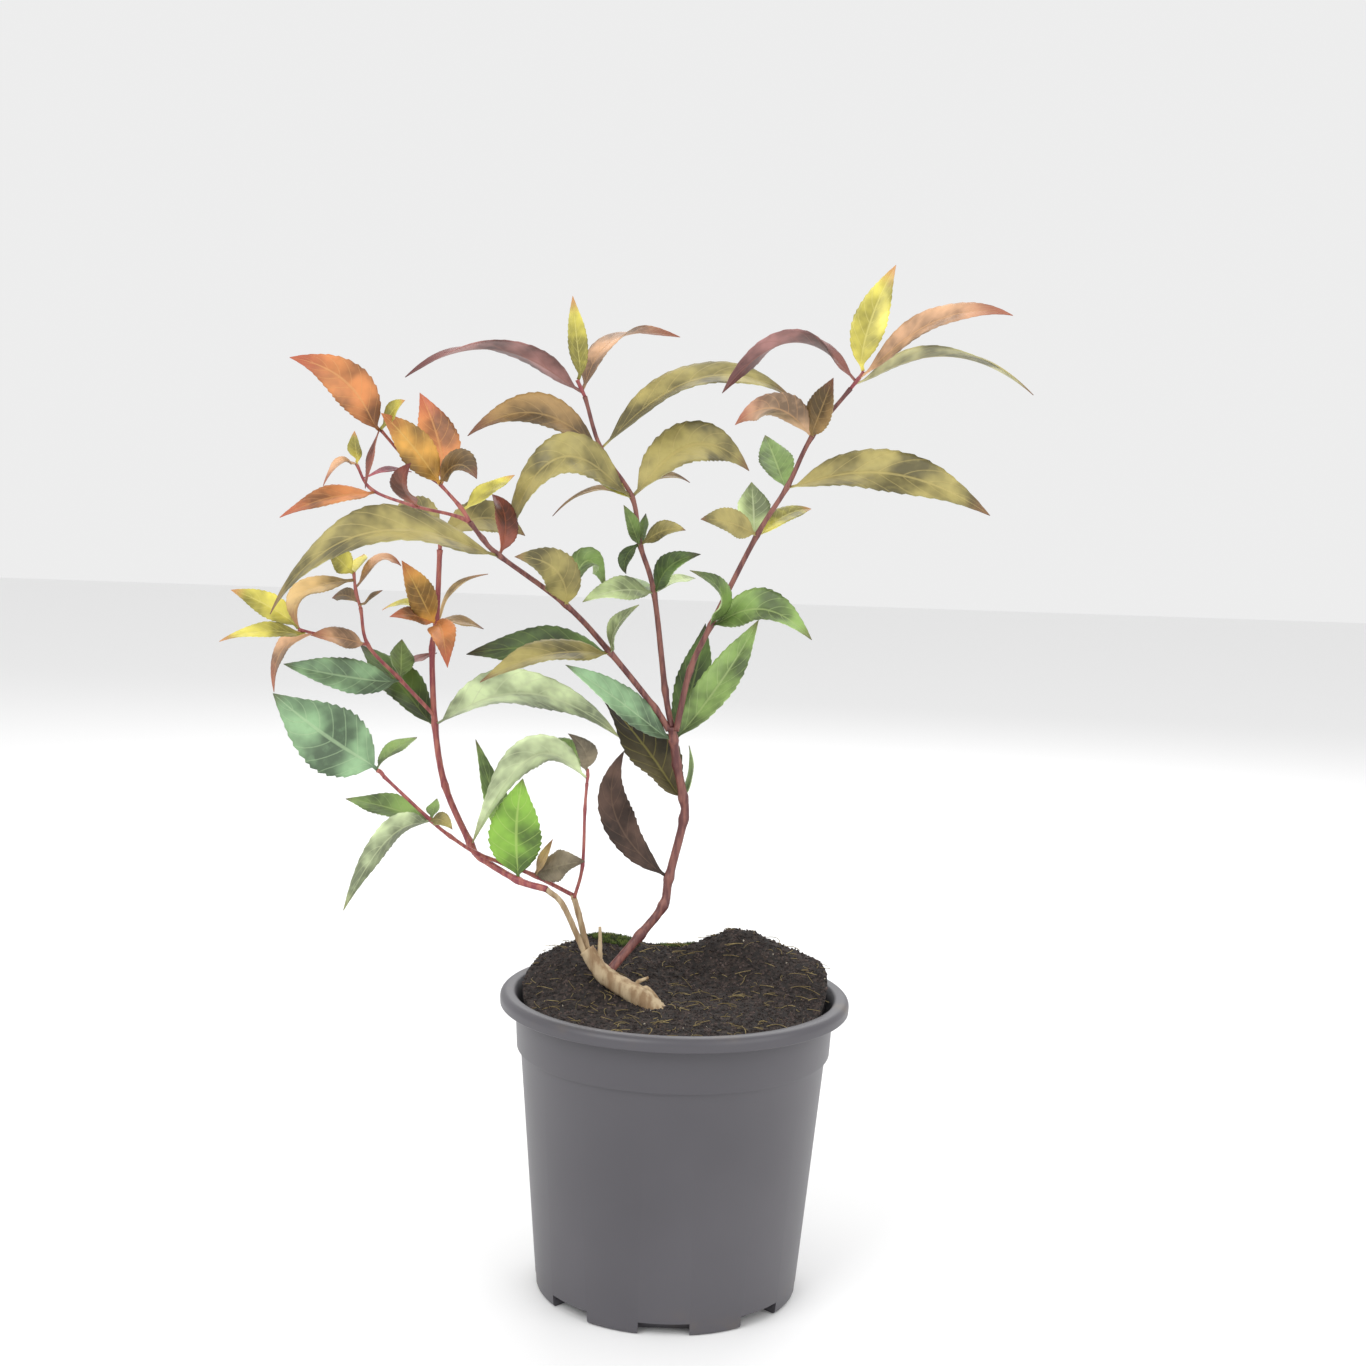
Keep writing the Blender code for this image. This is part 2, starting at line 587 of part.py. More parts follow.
def make_soil(crown):
    """The peat: it fills the pot to a heaped top and is cut clear of the woody crown's foot."""
    gap = CLEARANCE + 0.1
    edge = POT_STEP_OUTER - POT_WALL - gap
    top = [(edge * i / SOIL_RINGS, SOIL_EDGE_HEIGHT) for i in range(SOIL_RINGS + 1)]
    side = (
        (edge, SOIL_EDGE_HEIGHT),
        (edge, POT_STEP_HEIGHT + 3.0),
        (inner_radius(POT_STEP_HEIGHT) - gap, POT_STEP_HEIGHT - 0.2),
        (inner_radius(NOTCH_HEIGHT + 2.0) - gap, NOTCH_HEIGHT + 2.0),
        (POT_FOOT_RADIUS - NOTCH_DEPTH - gap, NOTCH_HEIGHT + 1.0),
        (POT_FOOT_RADIUS - NOTCH_DEPTH - gap, POT_FLOOR + gap),
        (0.0, POT_FLOOR + gap),
    )
    soil = turned("soil", (*top[:-1], *side), SOIL_SEGMENTS)
    surface = (SOIL_EDGE_HEIGHT - 0.01) * MM
    for v in soil.data.vertices:
        if v.co.z > surface:
            v.co.z = soil_height(v.co.x / MM, v.co.y / MM) * MM
    soil = cut_clear(soil, crown)
    return finish_node(soil, "soil", PEAT)


# Limbs


def limb_path(limb):
    """The limb's smooth path."""
    return smooth_path(limb.points, LIMB_STATIONS)


def limb_place(limb, node):
    """The point, direction and radius of a limb at one of its waypoints."""
    path = limb_path(limb)
    i = node * LIMB_STATIONS
    before = path[max(i - 1, 0)]
    after = path[min(i + 1, len(path) - 1)]
    share = i / (len(path) - 1)
    radius = limb.radii[0] + (limb.radii[1] - limb.radii[0]) * share
    return path[i], (after - before).normalized(), radius


def crown_parts(limb):
    """The woody crown's main piece and spurs, as paths and radii."""
    parts = [(limb_path(limb), limb.radii)]
    parts += [(smooth_path(points, 3), radii) for points, radii in CROWN_SPURS]
    return parts


def make_crown(limb):
    """The woody crown: a creeping piece of old wood with a broken stub and rootlets."""
    spurs = named_collection("crown_spurs")
    (path, radii), *others = crown_parts(limb)
    crown = tube(limb.name, path, radii, 1, named_collection(PLANT))
    for spur_path, spur_radii in others:
        tube("spur", spur_path, spur_radii, 1, spurs)
    union(crown, "crown_spurs")
    return finish_node(crown, limb.name, limb.finish)


def make_limb(limb, limbs):
    """A limb as one tapering tube, its foot cut to sit on what carries it."""
    stem = tube(limb.name, limb_path(limb), limb.radii, 1, named_collection(PLANT))
    if limb.seats:
        stem = cut_clear(stem, [(limb_path(limbs[name]), limbs[name].radii) for name in limb.seats])
    return finish_node(stem, limb.name, limb.finish)


# Leaves


def blade_width(leaf, t):
    """The blade's width at a share of the leaf's length: ovate, with a drawn-out tip."""
    petiole = LEAF_STATIONS[1] * 0.6
    if t <= petiole:
        return PETIOLE_WIDTH
    s = (t - petiole) / (1.0 - petiole)
    swell = math.sin(math.pi * min(s, 1.0) ** 0.8) ** 0.9 * (1.0 - 0.25 * s ** 3)
    return max(leaf.width * swell, PETIOLE_WIDTH * (1.0 - s), TIP_WIDTH)


def midrib_point(leaf, root, node, outward, t):
    """A point of the midrib: a curve from root to tip through the arched middle, bulged off its limb."""
    tip = node + Vector(leaf.tip)
    middle = (root + tip) / 2 + Vector((leaf.bow[0], leaf.bow[1], leaf.lift))
    control = middle * 2 - (root + tip) / 2
    bulge = 2.2 * (1.0 - math.exp(-t / 0.06)) * (1.0 - t) ** 2
    return root * (1 - t) ** 2 + control * (2 * t * (1 - t)) + tip * t ** 2 + outward * bulge


def leaf_frame(leaf, along, t):
    """The blade's sideways and upward directions at a share of its length."""
    to_front = (FRONT - along * FRONT.dot(along)).normalized()
    edge_on = to_front.cross(along)
    if leaf.tip[0] < 0:
        edge_on = -edge_on
    roll = math.radians(leaf.roll + leaf.twist * t)
    normal = edge_on * math.cos(roll) + to_front * math.sin(roll)
    return normal.cross(along).normalized(), normal.normalized()


def leaf_thickness(leaf):
    """How thick a leaf's blade is."""
    return max(LEAF_LEAST_THICKNESS, Vector(leaf.tip).length * LEAF_THICKNESS_SHARE)


def make_leaf(leaf, root, node, outward, collection, spare=0.0):
    """A leaf as a closed blade: a grid shaped along its midrib and given its thickness."""
    small = Vector(leaf.tip).length < SMALL_LEAF_LENGTH
    stations = SMALL_LEAF_STATIONS if small else LEAF_STATIONS
    across = 1 if small else 2
    work = bmesh.new()
    bmesh.ops.create_grid(work, x_segments=len(stations) - 1, y_segments=across, size=1.0)
    step = 0.002
    for v in work.verts:
        row = round((v.co.x + 1.0) / 2.0 * (len(stations) - 1))
        side = v.co.y
        t = stations[row]
        ahead = midrib_point(leaf, root, node, outward, min(t + step, 1.0))
        behind = midrib_point(leaf, root, node, outward, max(t - step, 0.0))
        sideways, normal = leaf_frame(leaf, (ahead - behind).normalized(), t)
        half = blade_width(leaf, t) / 2 * side
        spot = midrib_point(leaf, root, node, outward, t)
        spot = spot + sideways * half * math.cos(LEAF_FOLD) + normal * abs(half) * math.sin(LEAF_FOLD)
        v.co = spot * MM
    mesh = bpy.data.meshes.new("leaf")
    work.to_mesh(mesh)
    work.free()
    obj = bpy.data.objects.new("leaf", mesh)
    collection.objects.link(obj)
    shell = obj.modifiers.new("thickness", "SOLIDIFY")
    shell.thickness = (leaf_thickness(leaf) + spare) * MM
    shell.offset = 0.0
    bpy.context.view_layer.update()
    return as_mesh(obj)


def make_collar(place, along, radius, collection):
    """A short sleeve round a limb's node, 0.3 mm clear of the limb."""
    inner = (radius + CLEARANCE + 0.05) / math.cos(math.pi / COLLAR_SIDES)
    middle = inner + COLLAR_WALL / 2
    work = bmesh.new()
    bmesh.ops.create_cone(work, cap_ends=False, segments=COLLAR_SIDES, radius1=middle * MM, radius2=middle * MM,
                          depth=COLLAR_LENGTH * MM)
    turn = UP.rotation_difference(along).to_matrix()
    for v in work.verts:
        v.co = turn @ v.co + place * MM
    mesh = bpy.data.meshes.new("collar")
    work.to_mesh(mesh)
    work.free()
    obj = bpy.data.objects.new("collar", mesh)
    collection.objects.link(obj)
    shell = obj.modifiers.new("wall", "SOLIDIFY")
    shell.thickness = COLLAR_WALL * MM
    shell.offset = 0.0
    bpy.context.view_layer.update()
    return as_mesh(obj), inner


def radial(direction, along):
    """The unit direction away from a limb's axis, towards a given direction."""
    away = direction - along * direction.dot(along)
    return away.normalized()


def try_leaf(leaf, root, node, outward, parts, taken):
    """Add a leaf to the parts unless it would touch what is already there. True if it was added."""
    probe = make_leaf(leaf, root, node, outward, parts, spare=0.4)
    tree = bounding_tree(probe)
    bpy.data.objects.remove(probe, do_unlink=True)
    for name, other in taken.items():
        if tree.overlap(other):
            print(f"skipped a leaf to {leaf.tip}: it would touch {name}")
            return False
    make_leaf(leaf, root, node, outward, parts)
    return True


def collar_base(mass, limb, parts, taken):
    """A mass round a limb's node: its collar is the base, its leaves spring from the collar's wall."""
    place, along, radius = limb_place(limb, mass.node)
    base, inner = make_collar(place, along, radius, named_collection(PLANT))
    for leaf in mass.leaves:
        outward = radial(Vector(leaf.tip), along)
        root = place + outward * (inner + leaf_thickness(leaf) * 0.7)
        try_leaf(leaf, root, place, outward, parts, taken)
    return base, place, inner


def grow_shoot(shoot, origin, parts, taken, start=None):
    """A twig of a mass with its leaves. Returns the twig."""
    points = [origin + Vector(p) for p in shoot.points]
    if start is not None:
        points[0] = start
    path = smooth_path(points, 3)
    twig = tube("twig", path, shoot.radii, 0, named_collection(PLANT))
    for leaf in shoot.leaves:
        spot = leaf.at * (len(path) - 1)
        i = min(int(spot), len(path) - 2)
        node = path[i].lerp(path[i + 1], spot - i)
        along = (path[i + 1] - path[i]).normalized()
        try_leaf(leaf, node, node, radial(Vector(leaf.tip), along), parts, taken)
    return twig


def make_mass(mass, limbs, taken):
    """One mass of leaves as a single solid."""
    limb = limbs[mass.limb]
    parts_name = mass.name + "_parts"
    parts = named_collection(parts_name)
    place, along, radius = limb_place(limb, mass.node)
    last = len(limb.points) - 1
    if mass.node < last or mass.leaves:
        base, place, inner = collar_base(mass, limb, parts, taken)
        start = None
        if mass.shoots:
            heading = Vector(mass.shoots[0].points[1])
            start = place + radial(heading, along) * (inner + 0.3)
    else:
        base = None
        start = place + along * (CLEARANCE + 0.1)
    for number, shoot in enumerate(mass.shoots):
        twig = grow_shoot(shoot, place, parts, taken, start if number == 0 else None)
        if base is None:
            base = twig
        else:
            named_collection(PLANT).objects.unlink(twig)
            parts.objects.link(twig)
    if parts.objects:
        union(base, parts_name)
    else:
        bpy.data.collections.remove(parts)
    return finish_node(base, mass.name, mass.finish)


def main():
    """Build the pot, the peat, the limbs and the masses."""
    clear_scene()
    limbs = {limb.name: limb for limb in LIMBS}
    solids = {}
    solids["pot"] = make_pot()
    solids["soil"] = make_soil(crown_parts(limbs["woody_crown"]))
    solids["woody_crown"] = make_crown(limbs["woody_crown"])
    for limb in LIMBS[1:]:
        solids[limb.name] = make_limb(limb, limbs)
    taken = {name: bounding_tree(obj) for name, obj in solids.items()}
    for mass in MASSES:
        solid = make_mass(mass, limbs, taken)
        taken[mass.name] = bounding_tree(solid)
    bpy.context.view_layer.update()


if __name__ == "__main__":
    main()
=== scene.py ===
"""Looks of the potted southern bush honeysuckle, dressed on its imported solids.

Limbs, leaves, pot and peat are grown by the same rules and sizes as the solids, with finer meshes:
serrated and veined blades, stems with swollen nodes, a turned pot with drain notches, and peat strewn
with crumbs, fibres and moss. Tables are in millimetres and meshes in metres.
"""

import functools
import logging
import math
import random
from dataclasses import dataclass
from enum import Enum

import bmesh
import bpy
from mathutils import Matrix, Vector, noise

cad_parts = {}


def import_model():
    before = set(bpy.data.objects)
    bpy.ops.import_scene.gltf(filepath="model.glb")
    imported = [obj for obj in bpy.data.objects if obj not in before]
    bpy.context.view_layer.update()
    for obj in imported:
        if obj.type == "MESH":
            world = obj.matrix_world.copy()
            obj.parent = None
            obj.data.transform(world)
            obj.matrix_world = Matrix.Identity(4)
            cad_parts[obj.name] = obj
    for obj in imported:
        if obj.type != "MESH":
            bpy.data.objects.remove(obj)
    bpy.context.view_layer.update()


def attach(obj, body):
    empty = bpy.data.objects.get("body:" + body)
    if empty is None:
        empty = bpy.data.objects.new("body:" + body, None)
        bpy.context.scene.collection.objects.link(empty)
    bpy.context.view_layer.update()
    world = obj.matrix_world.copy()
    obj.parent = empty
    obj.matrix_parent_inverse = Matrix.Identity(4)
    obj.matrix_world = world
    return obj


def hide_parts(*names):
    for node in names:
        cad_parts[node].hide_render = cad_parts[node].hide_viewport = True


LOG = logging.getLogger("honeysuckle")
MM = 0.001
FRONT = Vector((0.0, -1.0, 0.0))
Colour = tuple[float, float, float]
Point = tuple[float, float, float]
Span = tuple[float, float]
Socket = bpy.types.NodeSocket


def srgb(red: float, green: float, blue: float) -> tuple[float, float, float, float]:
    """A colour as a screen shows it, 0 to 255, turned into the linear colour that a shader takes."""
    linear = [(c / 255 / 12.92) if c / 255 <= 0.04045 else ((c / 255 + 0.055) / 1.055) ** 2.4
              for c in (red, green, blue)]
    return (*linear, 1.0)


class Look(Enum):
    """How a leaf is coloured."""

    OLIVE = "olive"
    BRONZE = "bronze"
    COPPER = "copper"
    AMBER = "amber"
    PURPLE = "purple"
    PINK_TAN = "pink_tan"
    LIME = "lime"
    PALE = "pale"
    MID_GREEN = "mid_green"
    BRIGHT_GREEN = "bright_green"
    DEEP_GREEN = "deep_green"
    BLUE_GREEN = "blue_green"
    DARK_RED = "dark_red"
    CRIMSON = "crimson"
    TAN = "tan"
    DEAD_BROWN = "dead_brown"
    BLACKENED = "blackened"
    GREY_DEAD = "grey_dead"


VEIN_COUNT = 8.0
VEIN_LEAN = 1.7
VEIN_CURVE = 1.25
VEIN_EDGE = (0.07, 0.015)
VEIN_SHARE = 0.7
MIDRIB_EDGE = (0.075, 0.03)


class Shader:
    """A node tree under construction round one Principled BSDF."""

    def __init__(self, name: str, roughness: float) -> None:
        """Start a material.

        Args:
            name: The material's name.
            roughness: Its roughness, the same all over.
        """
        self.material = bpy.data.materials.new(name)
        self.material.use_nodes = True
        self.nodes = self.material.node_tree.nodes
        self.links = self.material.node_tree.links
        self.shader = self.nodes["Principled BSDF"]
        self.shader.inputs["Roughness"].default_value = roughness
        self.coordinates = self.nodes.new("ShaderNodeTexCoord")

    def link(self, output: Socket, name: str) -> None:
        """Lead an output to one of the shader's sockets."""
        self.links.new(output, self.shader.inputs[name])

    def noise(self, scale: float, detail: float, stretch: Point = (1.0, 1.0, 1.0)) -> Socket:
        """Noise on Object coordinates.

        Args:
            scale: Waves to the metre.
            detail: Octaves.
            stretch: Scale along each axis, below 1 to draw the pattern out.

        Returns:
            The noise's value.
        """
        place = self.nodes.new("ShaderNodeMapping")
        place.inputs["Scale"].default_value = stretch
        self.links.new(self.coordinates.outputs["Object"], place.inputs["Vector"])
        texture = self.nodes.new("ShaderNodeTexNoise")
        texture.inputs["Scale"].default_value = scale
        texture.inputs["Detail"].default_value = detail
        self.links.new(place.outputs["Vector"], texture.inputs["Vector"])
        return texture.outputs["Fac"]

    def split(self, coordinates: str) -> bpy.types.Node:
        """Coordinates split into X, Y and Z.

        Args:
            coordinates: Object or UV.

        Returns:
            The node that splits them.
        """
        node = self.nodes.new("ShaderNodeSeparateXYZ")
        self.links.new(self.coordinates.outputs[coordinates], node.inputs["Vector"])
        return node

    def blade_map(self) -> tuple[Socket, Socket]:
        """Where a point lies on its blade.

        Returns:
            Its share of the blade's length, and its share of the way from midrib to margin.
        """
        place = self.split("UV")
        side = self.math("SUBTRACT", place.outputs["X"], 0.5)
        return place.outputs["Y"], self.scaled(self.math("ABSOLUTE", side), 2.0)

    def math(self, operation: str, first: Socket | float, second: Socket | float = 0.0) -> Socket:
        """A Math node on sockets or numbers.

        Args:
            operation: The node's operation.
            first: Its first value.
            second: Its second value.

        Returns:
            The result.
        """
        node = self.nodes.new("ShaderNodeMath")
        node.operation = operation
        for socket, value in zip(node.inputs, (first, second)):
            if isinstance(value, (int, float)):
                socket.default_value = value
            else:
                self.links.new(value, socket)
        return node.outputs["Value"]

    def scaled(self, value: Socket, factor: float) -> Socket:
        """A value times a number."""
        return self.math("MULTIPLY", value, factor)

    def ramp(self, value: Socket, low: float, high: float) -> Socket:
        """A smooth step.

        Args:
            value: What is stepped.
            low: Where the step is 0.
            high: Where the step is 1, which may be below low.

        Returns:
            The step's value.
        """
        node = self.nodes.new("ShaderNodeMapRange")
        node.interpolation_type = "SMOOTHSTEP"
        rising = low < high
        node.inputs["From Min"].default_value = low if rising else high
        node.inputs["From Max"].default_value = high if rising else low
        node.inputs["To Min"].default_value = 0.0 if rising else 1.0
        node.inputs["To Max"].default_value = 1.0 if rising else 0.0
        self.links.new(value, node.inputs["Value"])
        return node.outputs["Result"]

    def mix(self, share: Socket, first: Socket | Colour, second: Socket | Colour) -> Socket:
        """A mix of two colours.

        Args:
            share: The second colour's share.
            first: A socket, or a colour as a screen shows it.
            second: The same.

        Returns:
            The mixed colour.
        """
        node = self.nodes.new("ShaderNodeMix")
        node.data_type = "RGBA"
        self.links.new(share, node.inputs["Factor"])
        for name, value in (("A", first), ("B", second)):
            socket = next(s for s in node.inputs if s.name == name and s.type == "RGBA")
            if isinstance(value, tuple):
                socket.default_value = srgb(*value)
            else:
                self.links.new(value, socket)
        return next(s for s in node.outputs if s.type == "RGBA")

    def veins(self, along: Socket, across: Socket) -> Socket:
        """A mask of the midrib and of side veins that curve towards the tip.

        Args:
            along: The share of the blade's length.
            across: The share of the way from midrib to margin.

        Returns:
            The mask, 1 on a vein.
        """
        lean = self.math("POWER", across, VEIN_CURVE)
        phase = self.math("SUBTRACT", self.scaled(along, VEIN_COUNT), self.scaled(lean, VEIN_LEAN))
        wave = self.math("ABSOLUTE", self.math("SUBTRACT", self.math("FRACT", phase), 0.5))
        side = self.scaled(self.ramp(wave, *VEIN_EDGE), VEIN_SHARE)
        return self.math("MAXIMUM", side, self.ramp(across, *MIDRIB_EDGE))

    def bump(self, value: Socket, strength: float, distance: float) -> None:
        """Give the surface relief.

        Args:
            value: The relief's height.
            strength: How strong it is.
            distance: How deep it is, in metres.
        """
        node = self.nodes.new("ShaderNodeBump")
        node.inputs["Strength"].default_value = strength
        node.inputs["Distance"].default_value = distance
        self.links.new(value, node.inputs["Height"])
        self.link(node.outputs["Normal"], "Normal")


@dataclass(frozen=True)
class LeafFinish:
    """A leaf's colours: its upper side, underside, tip and veins, and its surface.

    tip_from is the share of the length where the tip's tint starts. Broad clouds make the ground darker
    and lighter, and mottle is how far fine spots bring its own colour back.
    """

    name: str
    upper: Colour
    under: Colour
    tip: Colour
    vein: Colour
    tip_from: float = 0.7
    roughness: float = 0.48
    mottle: float = 0.35
    upper_relief: float = 0.32
    under_relief: float = 0.14
    relief_depth: float = 0.0004
    spot_scale: float = 220.0
    spot_range: Span = (0.5, 0.72)
    cloud_scale: float = 45.0
    cloud_range: Span = (0.36, 0.66)
    darker: float = 0.62
    lighter: float = 1.16
    lift: float = 6.0
    vein_strength: float = 0.55

    def materials(self) -> tuple[bpy.types.Material, bpy.types.Material]:
        """The materials of the upper side and the underside."""
        upper = self.material(self.name + "_upper", self.upper, self.upper_relief)
        return upper, self.material(self.name + "_under", self.under, self.under_relief)

    @functools.cache
    def material(self, name: str, colour: Colour, relief: float) -> bpy.types.Material:
        """One side's material: veins and a tip tint on the blade's own map, over a mottled ground.

        Args:
            name: The material's name.
            colour: The ground colour of this side.
            relief: How strongly the veins stand in relief.

        Returns:
            The material, made at its first use.
        """
        shader = Shader(name, self.roughness)
        along, across = shader.blade_map()
        spots = shader.ramp(shader.noise(self.spot_scale, 4.0), *self.spot_range)
        clouds = shader.ramp(shader.noise(self.cloud_scale, 3.0), *self.cloud_range)
        dark = tuple(c * self.darker for c in colour)
        light = tuple(min(c * self.lighter + self.lift, 255) for c in colour)
        ground = shader.mix(clouds, dark, light)
        ground = shader.mix(shader.scaled(spots, self.mottle), ground, colour)
        tipped = shader.mix(shader.ramp(along, self.tip_from, 1.0), ground, self.tip)
        veins = shader.veins(along, across)
        shader.link(shader.mix(shader.scaled(veins, self.vein_strength), tipped, self.vein), "Base Color")
        shader.bump(veins, relief, self.relief_depth)
        return shader.material


@dataclass(frozen=True)
class BarkFinish:
    """A bark: its ground, its streaks and flecks, and the strength and scale of its relief."""

    name: str
    ground: Colour
    streak: Colour
    roughness: float
    relief: float
    fineness: float
    relief_depth: float = 0.0006
    stretch: Point = (1.0, 1.0, 0.16)
    streak_range: Span = (0.38, 0.64)
    fleck_times: float = 4.0
    fleck_range: Span = (0.6, 0.75)
    fleck_strength: float = 0.4

    @functools.cache
    def material(self) -> bpy.types.Material:
        """The bark's material, with its streaks drawn out along the stem.

        Returns:
            The material, made at its first use.
        """
        shader = Shader(self.name, self.roughness)
        streaks = shader.noise(self.fineness, 5.0, self.stretch)
        flecks = shader.ramp(shader.noise(self.fineness * self.fleck_times, 3.0), *self.fleck_range)
        ground = shader.mix(shader.ramp(streaks, *self.streak_range), self.ground, self.streak)
        flecked = shader.mix(shader.scaled(flecks, self.fleck_strength), ground, self.streak)
        shader.link(flecked, "Base Color")
        shader.bump(streaks, self.relief, self.relief_depth)
        return shader.material


@dataclass(frozen=True)
class PlasticFinish:
    """A moulded plastic with peat dust smeared near its rim and its foot. Its bands are heights in metres."""

    name: str = "dark_grey_pot_plastic"
    ground: Colour = (76, 74, 79)
    cloud: Colour = (83, 81, 86)
    dust: Colour = (101, 90, 79)
    roughness: float = 0.42
    smear_scale: float = 38.0
    smear_range: Span = (0.52, 0.7)
    rim_band: Span = (0.1405, 0.1475)
    foot_band: Span = (0.016, 0.0)
    dust_strength: float = 0.75
    cloud_scale: float = 9.0
    cloud_range: Span = (0.35, 0.7)
    grain_scale: float = 2600.0
    grain_relief: float = 0.12
    grain_depth: float = 0.0001

    def material(self) -> bpy.types.Material:
        """The plastic's material.

        Returns:
            The material.
        """
        shader = Shader(self.name, self.roughness)
        height = shader.split("Object").outputs["Z"]
        smear = shader.ramp(shader.noise(self.smear_scale, 6.0), *self.smear_range)
        rim = shader.ramp(height, *self.rim_band)
        foot = shader.ramp(height, *self.foot_band)
        place = shader.scaled(shader.math("ADD", rim, foot), self.dust_strength)
        clouds = shader.ramp(shader.noise(self.cloud_scale, 3.0), *self.cloud_range)
        ground = shader.mix(clouds, self.ground, self.cloud)
        shader.link(shader.mix(shader.math("MULTIPLY", place, smear), ground, self.dust), "Base Color")
        shader.bump(shader.noise(self.grain_scale, 2.0), self.grain_relief, self.grain_depth)
        return shader.material


@dataclass(frozen=True)
class GroundFinish:
    """Peat, moss, fibre or chips: two mixed colours and a rough relief."""

    name: str
    dark: Colour
    light: Colour
    scale: float
    relief: float = 0.5
    roughness: float = 0.9
    patch_range: Span = (0.42, 0.68)
    grain_times: float = 5.0
    grain_depth: float = 0.001

    @functools.cache
    def material(self) -> bpy.types.Material:
        """The material.

        Returns:
            The material, made at its first use.
        """
        shader = Shader(self.name, self.roughness)
        patches = shader.ramp(shader.noise(self.scale, 6.0), *self.patch_range)
        shader.link(shader.mix(patches, self.dark, self.light), "Base Color")
        shader.bump(shader.noise(self.scale * self.grain_times, 5.0), self.relief, self.grain_depth)
        return shader.material


LEAF_FINISHES = {
    Look.OLIVE: LeafFinish("olive_leaf", (142, 131, 76), (168, 164, 116), (120, 84, 58),
                           (178, 162, 100), 0.86),
    Look.BRONZE: LeafFinish("bronze_leaf", (136, 108, 66), (160, 140, 98), (108, 66, 50),
                            (170, 140, 90), 0.7),
    Look.COPPER: LeafFinish("copper_leaf", (182, 116, 66), (196, 150, 104), (176, 92, 66),
                            (206, 150, 92), 0.6),
    Look.AMBER: LeafFinish("amber_leaf", (196, 146, 66), (205, 170, 98), (180, 106, 60),
                           (216, 176, 96), 0.6),
    Look.PURPLE: LeafFinish("purple_leaf", (112, 70, 66), (146, 104, 100), (92, 48, 46),
                            (146, 98, 86), 0.7),
    Look.PINK_TAN: LeafFinish("pink_tan_leaf", (190, 148, 112), (200, 164, 132), (156, 92, 70),
                              (206, 160, 116), 0.55),
    Look.LIME: LeafFinish("lime_leaf", (200, 190, 84), (208, 204, 116), (196, 140, 92),
                          (216, 206, 118), 0.75, 0.42),
    Look.PALE: LeafFinish("pale_leaf", (168, 184, 128), (184, 198, 152), (128, 132, 84),
                          (198, 208, 164), 0.88, 0.55),
    Look.MID_GREEN: LeafFinish("mid_green_leaf", (116, 142, 76), (160, 180, 126), (98, 96, 52),
                               (158, 178, 112), 0.85),
    Look.BRIGHT_GREEN: LeafFinish("bright_green_leaf", (112, 152, 52), (158, 184, 110), (92, 104, 46),
                                  (168, 194, 104), 0.88),
    Look.DEEP_GREEN: LeafFinish("deep_green_leaf", (76, 100, 44), (140, 160, 106), (50, 46, 30),
                                (118, 138, 74), 0.72),
    Look.BLUE_GREEN: LeafFinish("blue_green_leaf", (118, 150, 110), (160, 182, 148), (84, 92, 62),
                                (160, 186, 144), 0.88),
    Look.DARK_RED: LeafFinish("dark_red_leaf", (128, 66, 48), (160, 100, 76), (104, 44, 40),
                              (160, 92, 66), 0.6),
    Look.CRIMSON: LeafFinish("crimson_leaf", (152, 58, 74), (176, 92, 100), (128, 38, 58),
                             (180, 90, 96), 0.6),
    Look.TAN: LeafFinish("tan_leaf", (182, 152, 100), (192, 168, 122), (150, 104, 70),
                         (200, 172, 120), 0.6),
    Look.DEAD_BROWN: LeafFinish("dead_brown_leaf", (78, 58, 48), (96, 76, 62), (58, 42, 36),
                                (104, 82, 66), 0.8, 0.8, 0.6),
    Look.BLACKENED: LeafFinish("blackened_leaf", (74, 66, 40), (92, 84, 58), (38, 32, 28),
                               (150, 140, 74), 0.25, 0.7, 0.7),
    Look.GREY_DEAD: LeafFinish("grey_dead_leaf", (118, 108, 88), (136, 128, 108), (88, 76, 62),
                               (142, 132, 110), 0.7, 0.8, 0.6),
}
OLD_BARK = BarkFinish("old_tan_bark", (184, 164, 132), (138, 112, 82), 0.82, 0.9, 240.0)
DARK_BARK = BarkFinish("dark_red_stem_bark", (92, 50, 50), (132, 84, 74), 0.5, 0.35, 420.0)
RED_BARK = BarkFinish("crimson_stem_bark", (132, 58, 66), (166, 98, 86), 0.45, 0.3, 420.0)
PEAT = GroundFinish("dark_peat", (28, 22, 20), (62, 50, 44), 420.0, 0.9)
CRUMB = GroundFinish("peat_crumbs", (34, 26, 24), (84, 70, 66), 260.0, 0.8)
FIBRE = GroundFinish("straw_fibres", (120, 104, 66), (164, 146, 98), 120.0, 0.3)
CHIP = GroundFinish("pale_chips", (150, 140, 124), (196, 188, 172), 300.0, 0.4)
MOSS = GroundFinish("green_moss", (52, 66, 26), (104, 122, 48), 300.0, 0.6)


@dataclass(frozen=True)
class Limb:
    """A tapering limb: its waypoints, which are also its nodes, its radii at foot and tip, and its bark."""

    name: str
    points: tuple[Point, ...]
    radii: Span
    bark: BarkFinish


@dataclass(frozen=True)
class Leaf:
    """A leaf: its tip from its node, its blade's width and turn, and its look.

    roll is how far the blade opens to the front, twist what is added to it from root to tip, lift and
    bow are how far its middle arches up and aside, and at is where it stands along its shoot.
    """

    tip: Point
    width: float
    look: Look
    roll: float = 45.0
    lift: float = 0.0
    bow: Span = (0.0, 0.0)
    twist: float = 0.0
    at: float = 1.0


@dataclass(frozen=True)
class Shoot:
    """A leafy twig: its waypoints from the mass's node, its radii and its leaves."""

    points: tuple[Point, ...]
    radii: Span
    leaves: tuple[Leaf, ...]


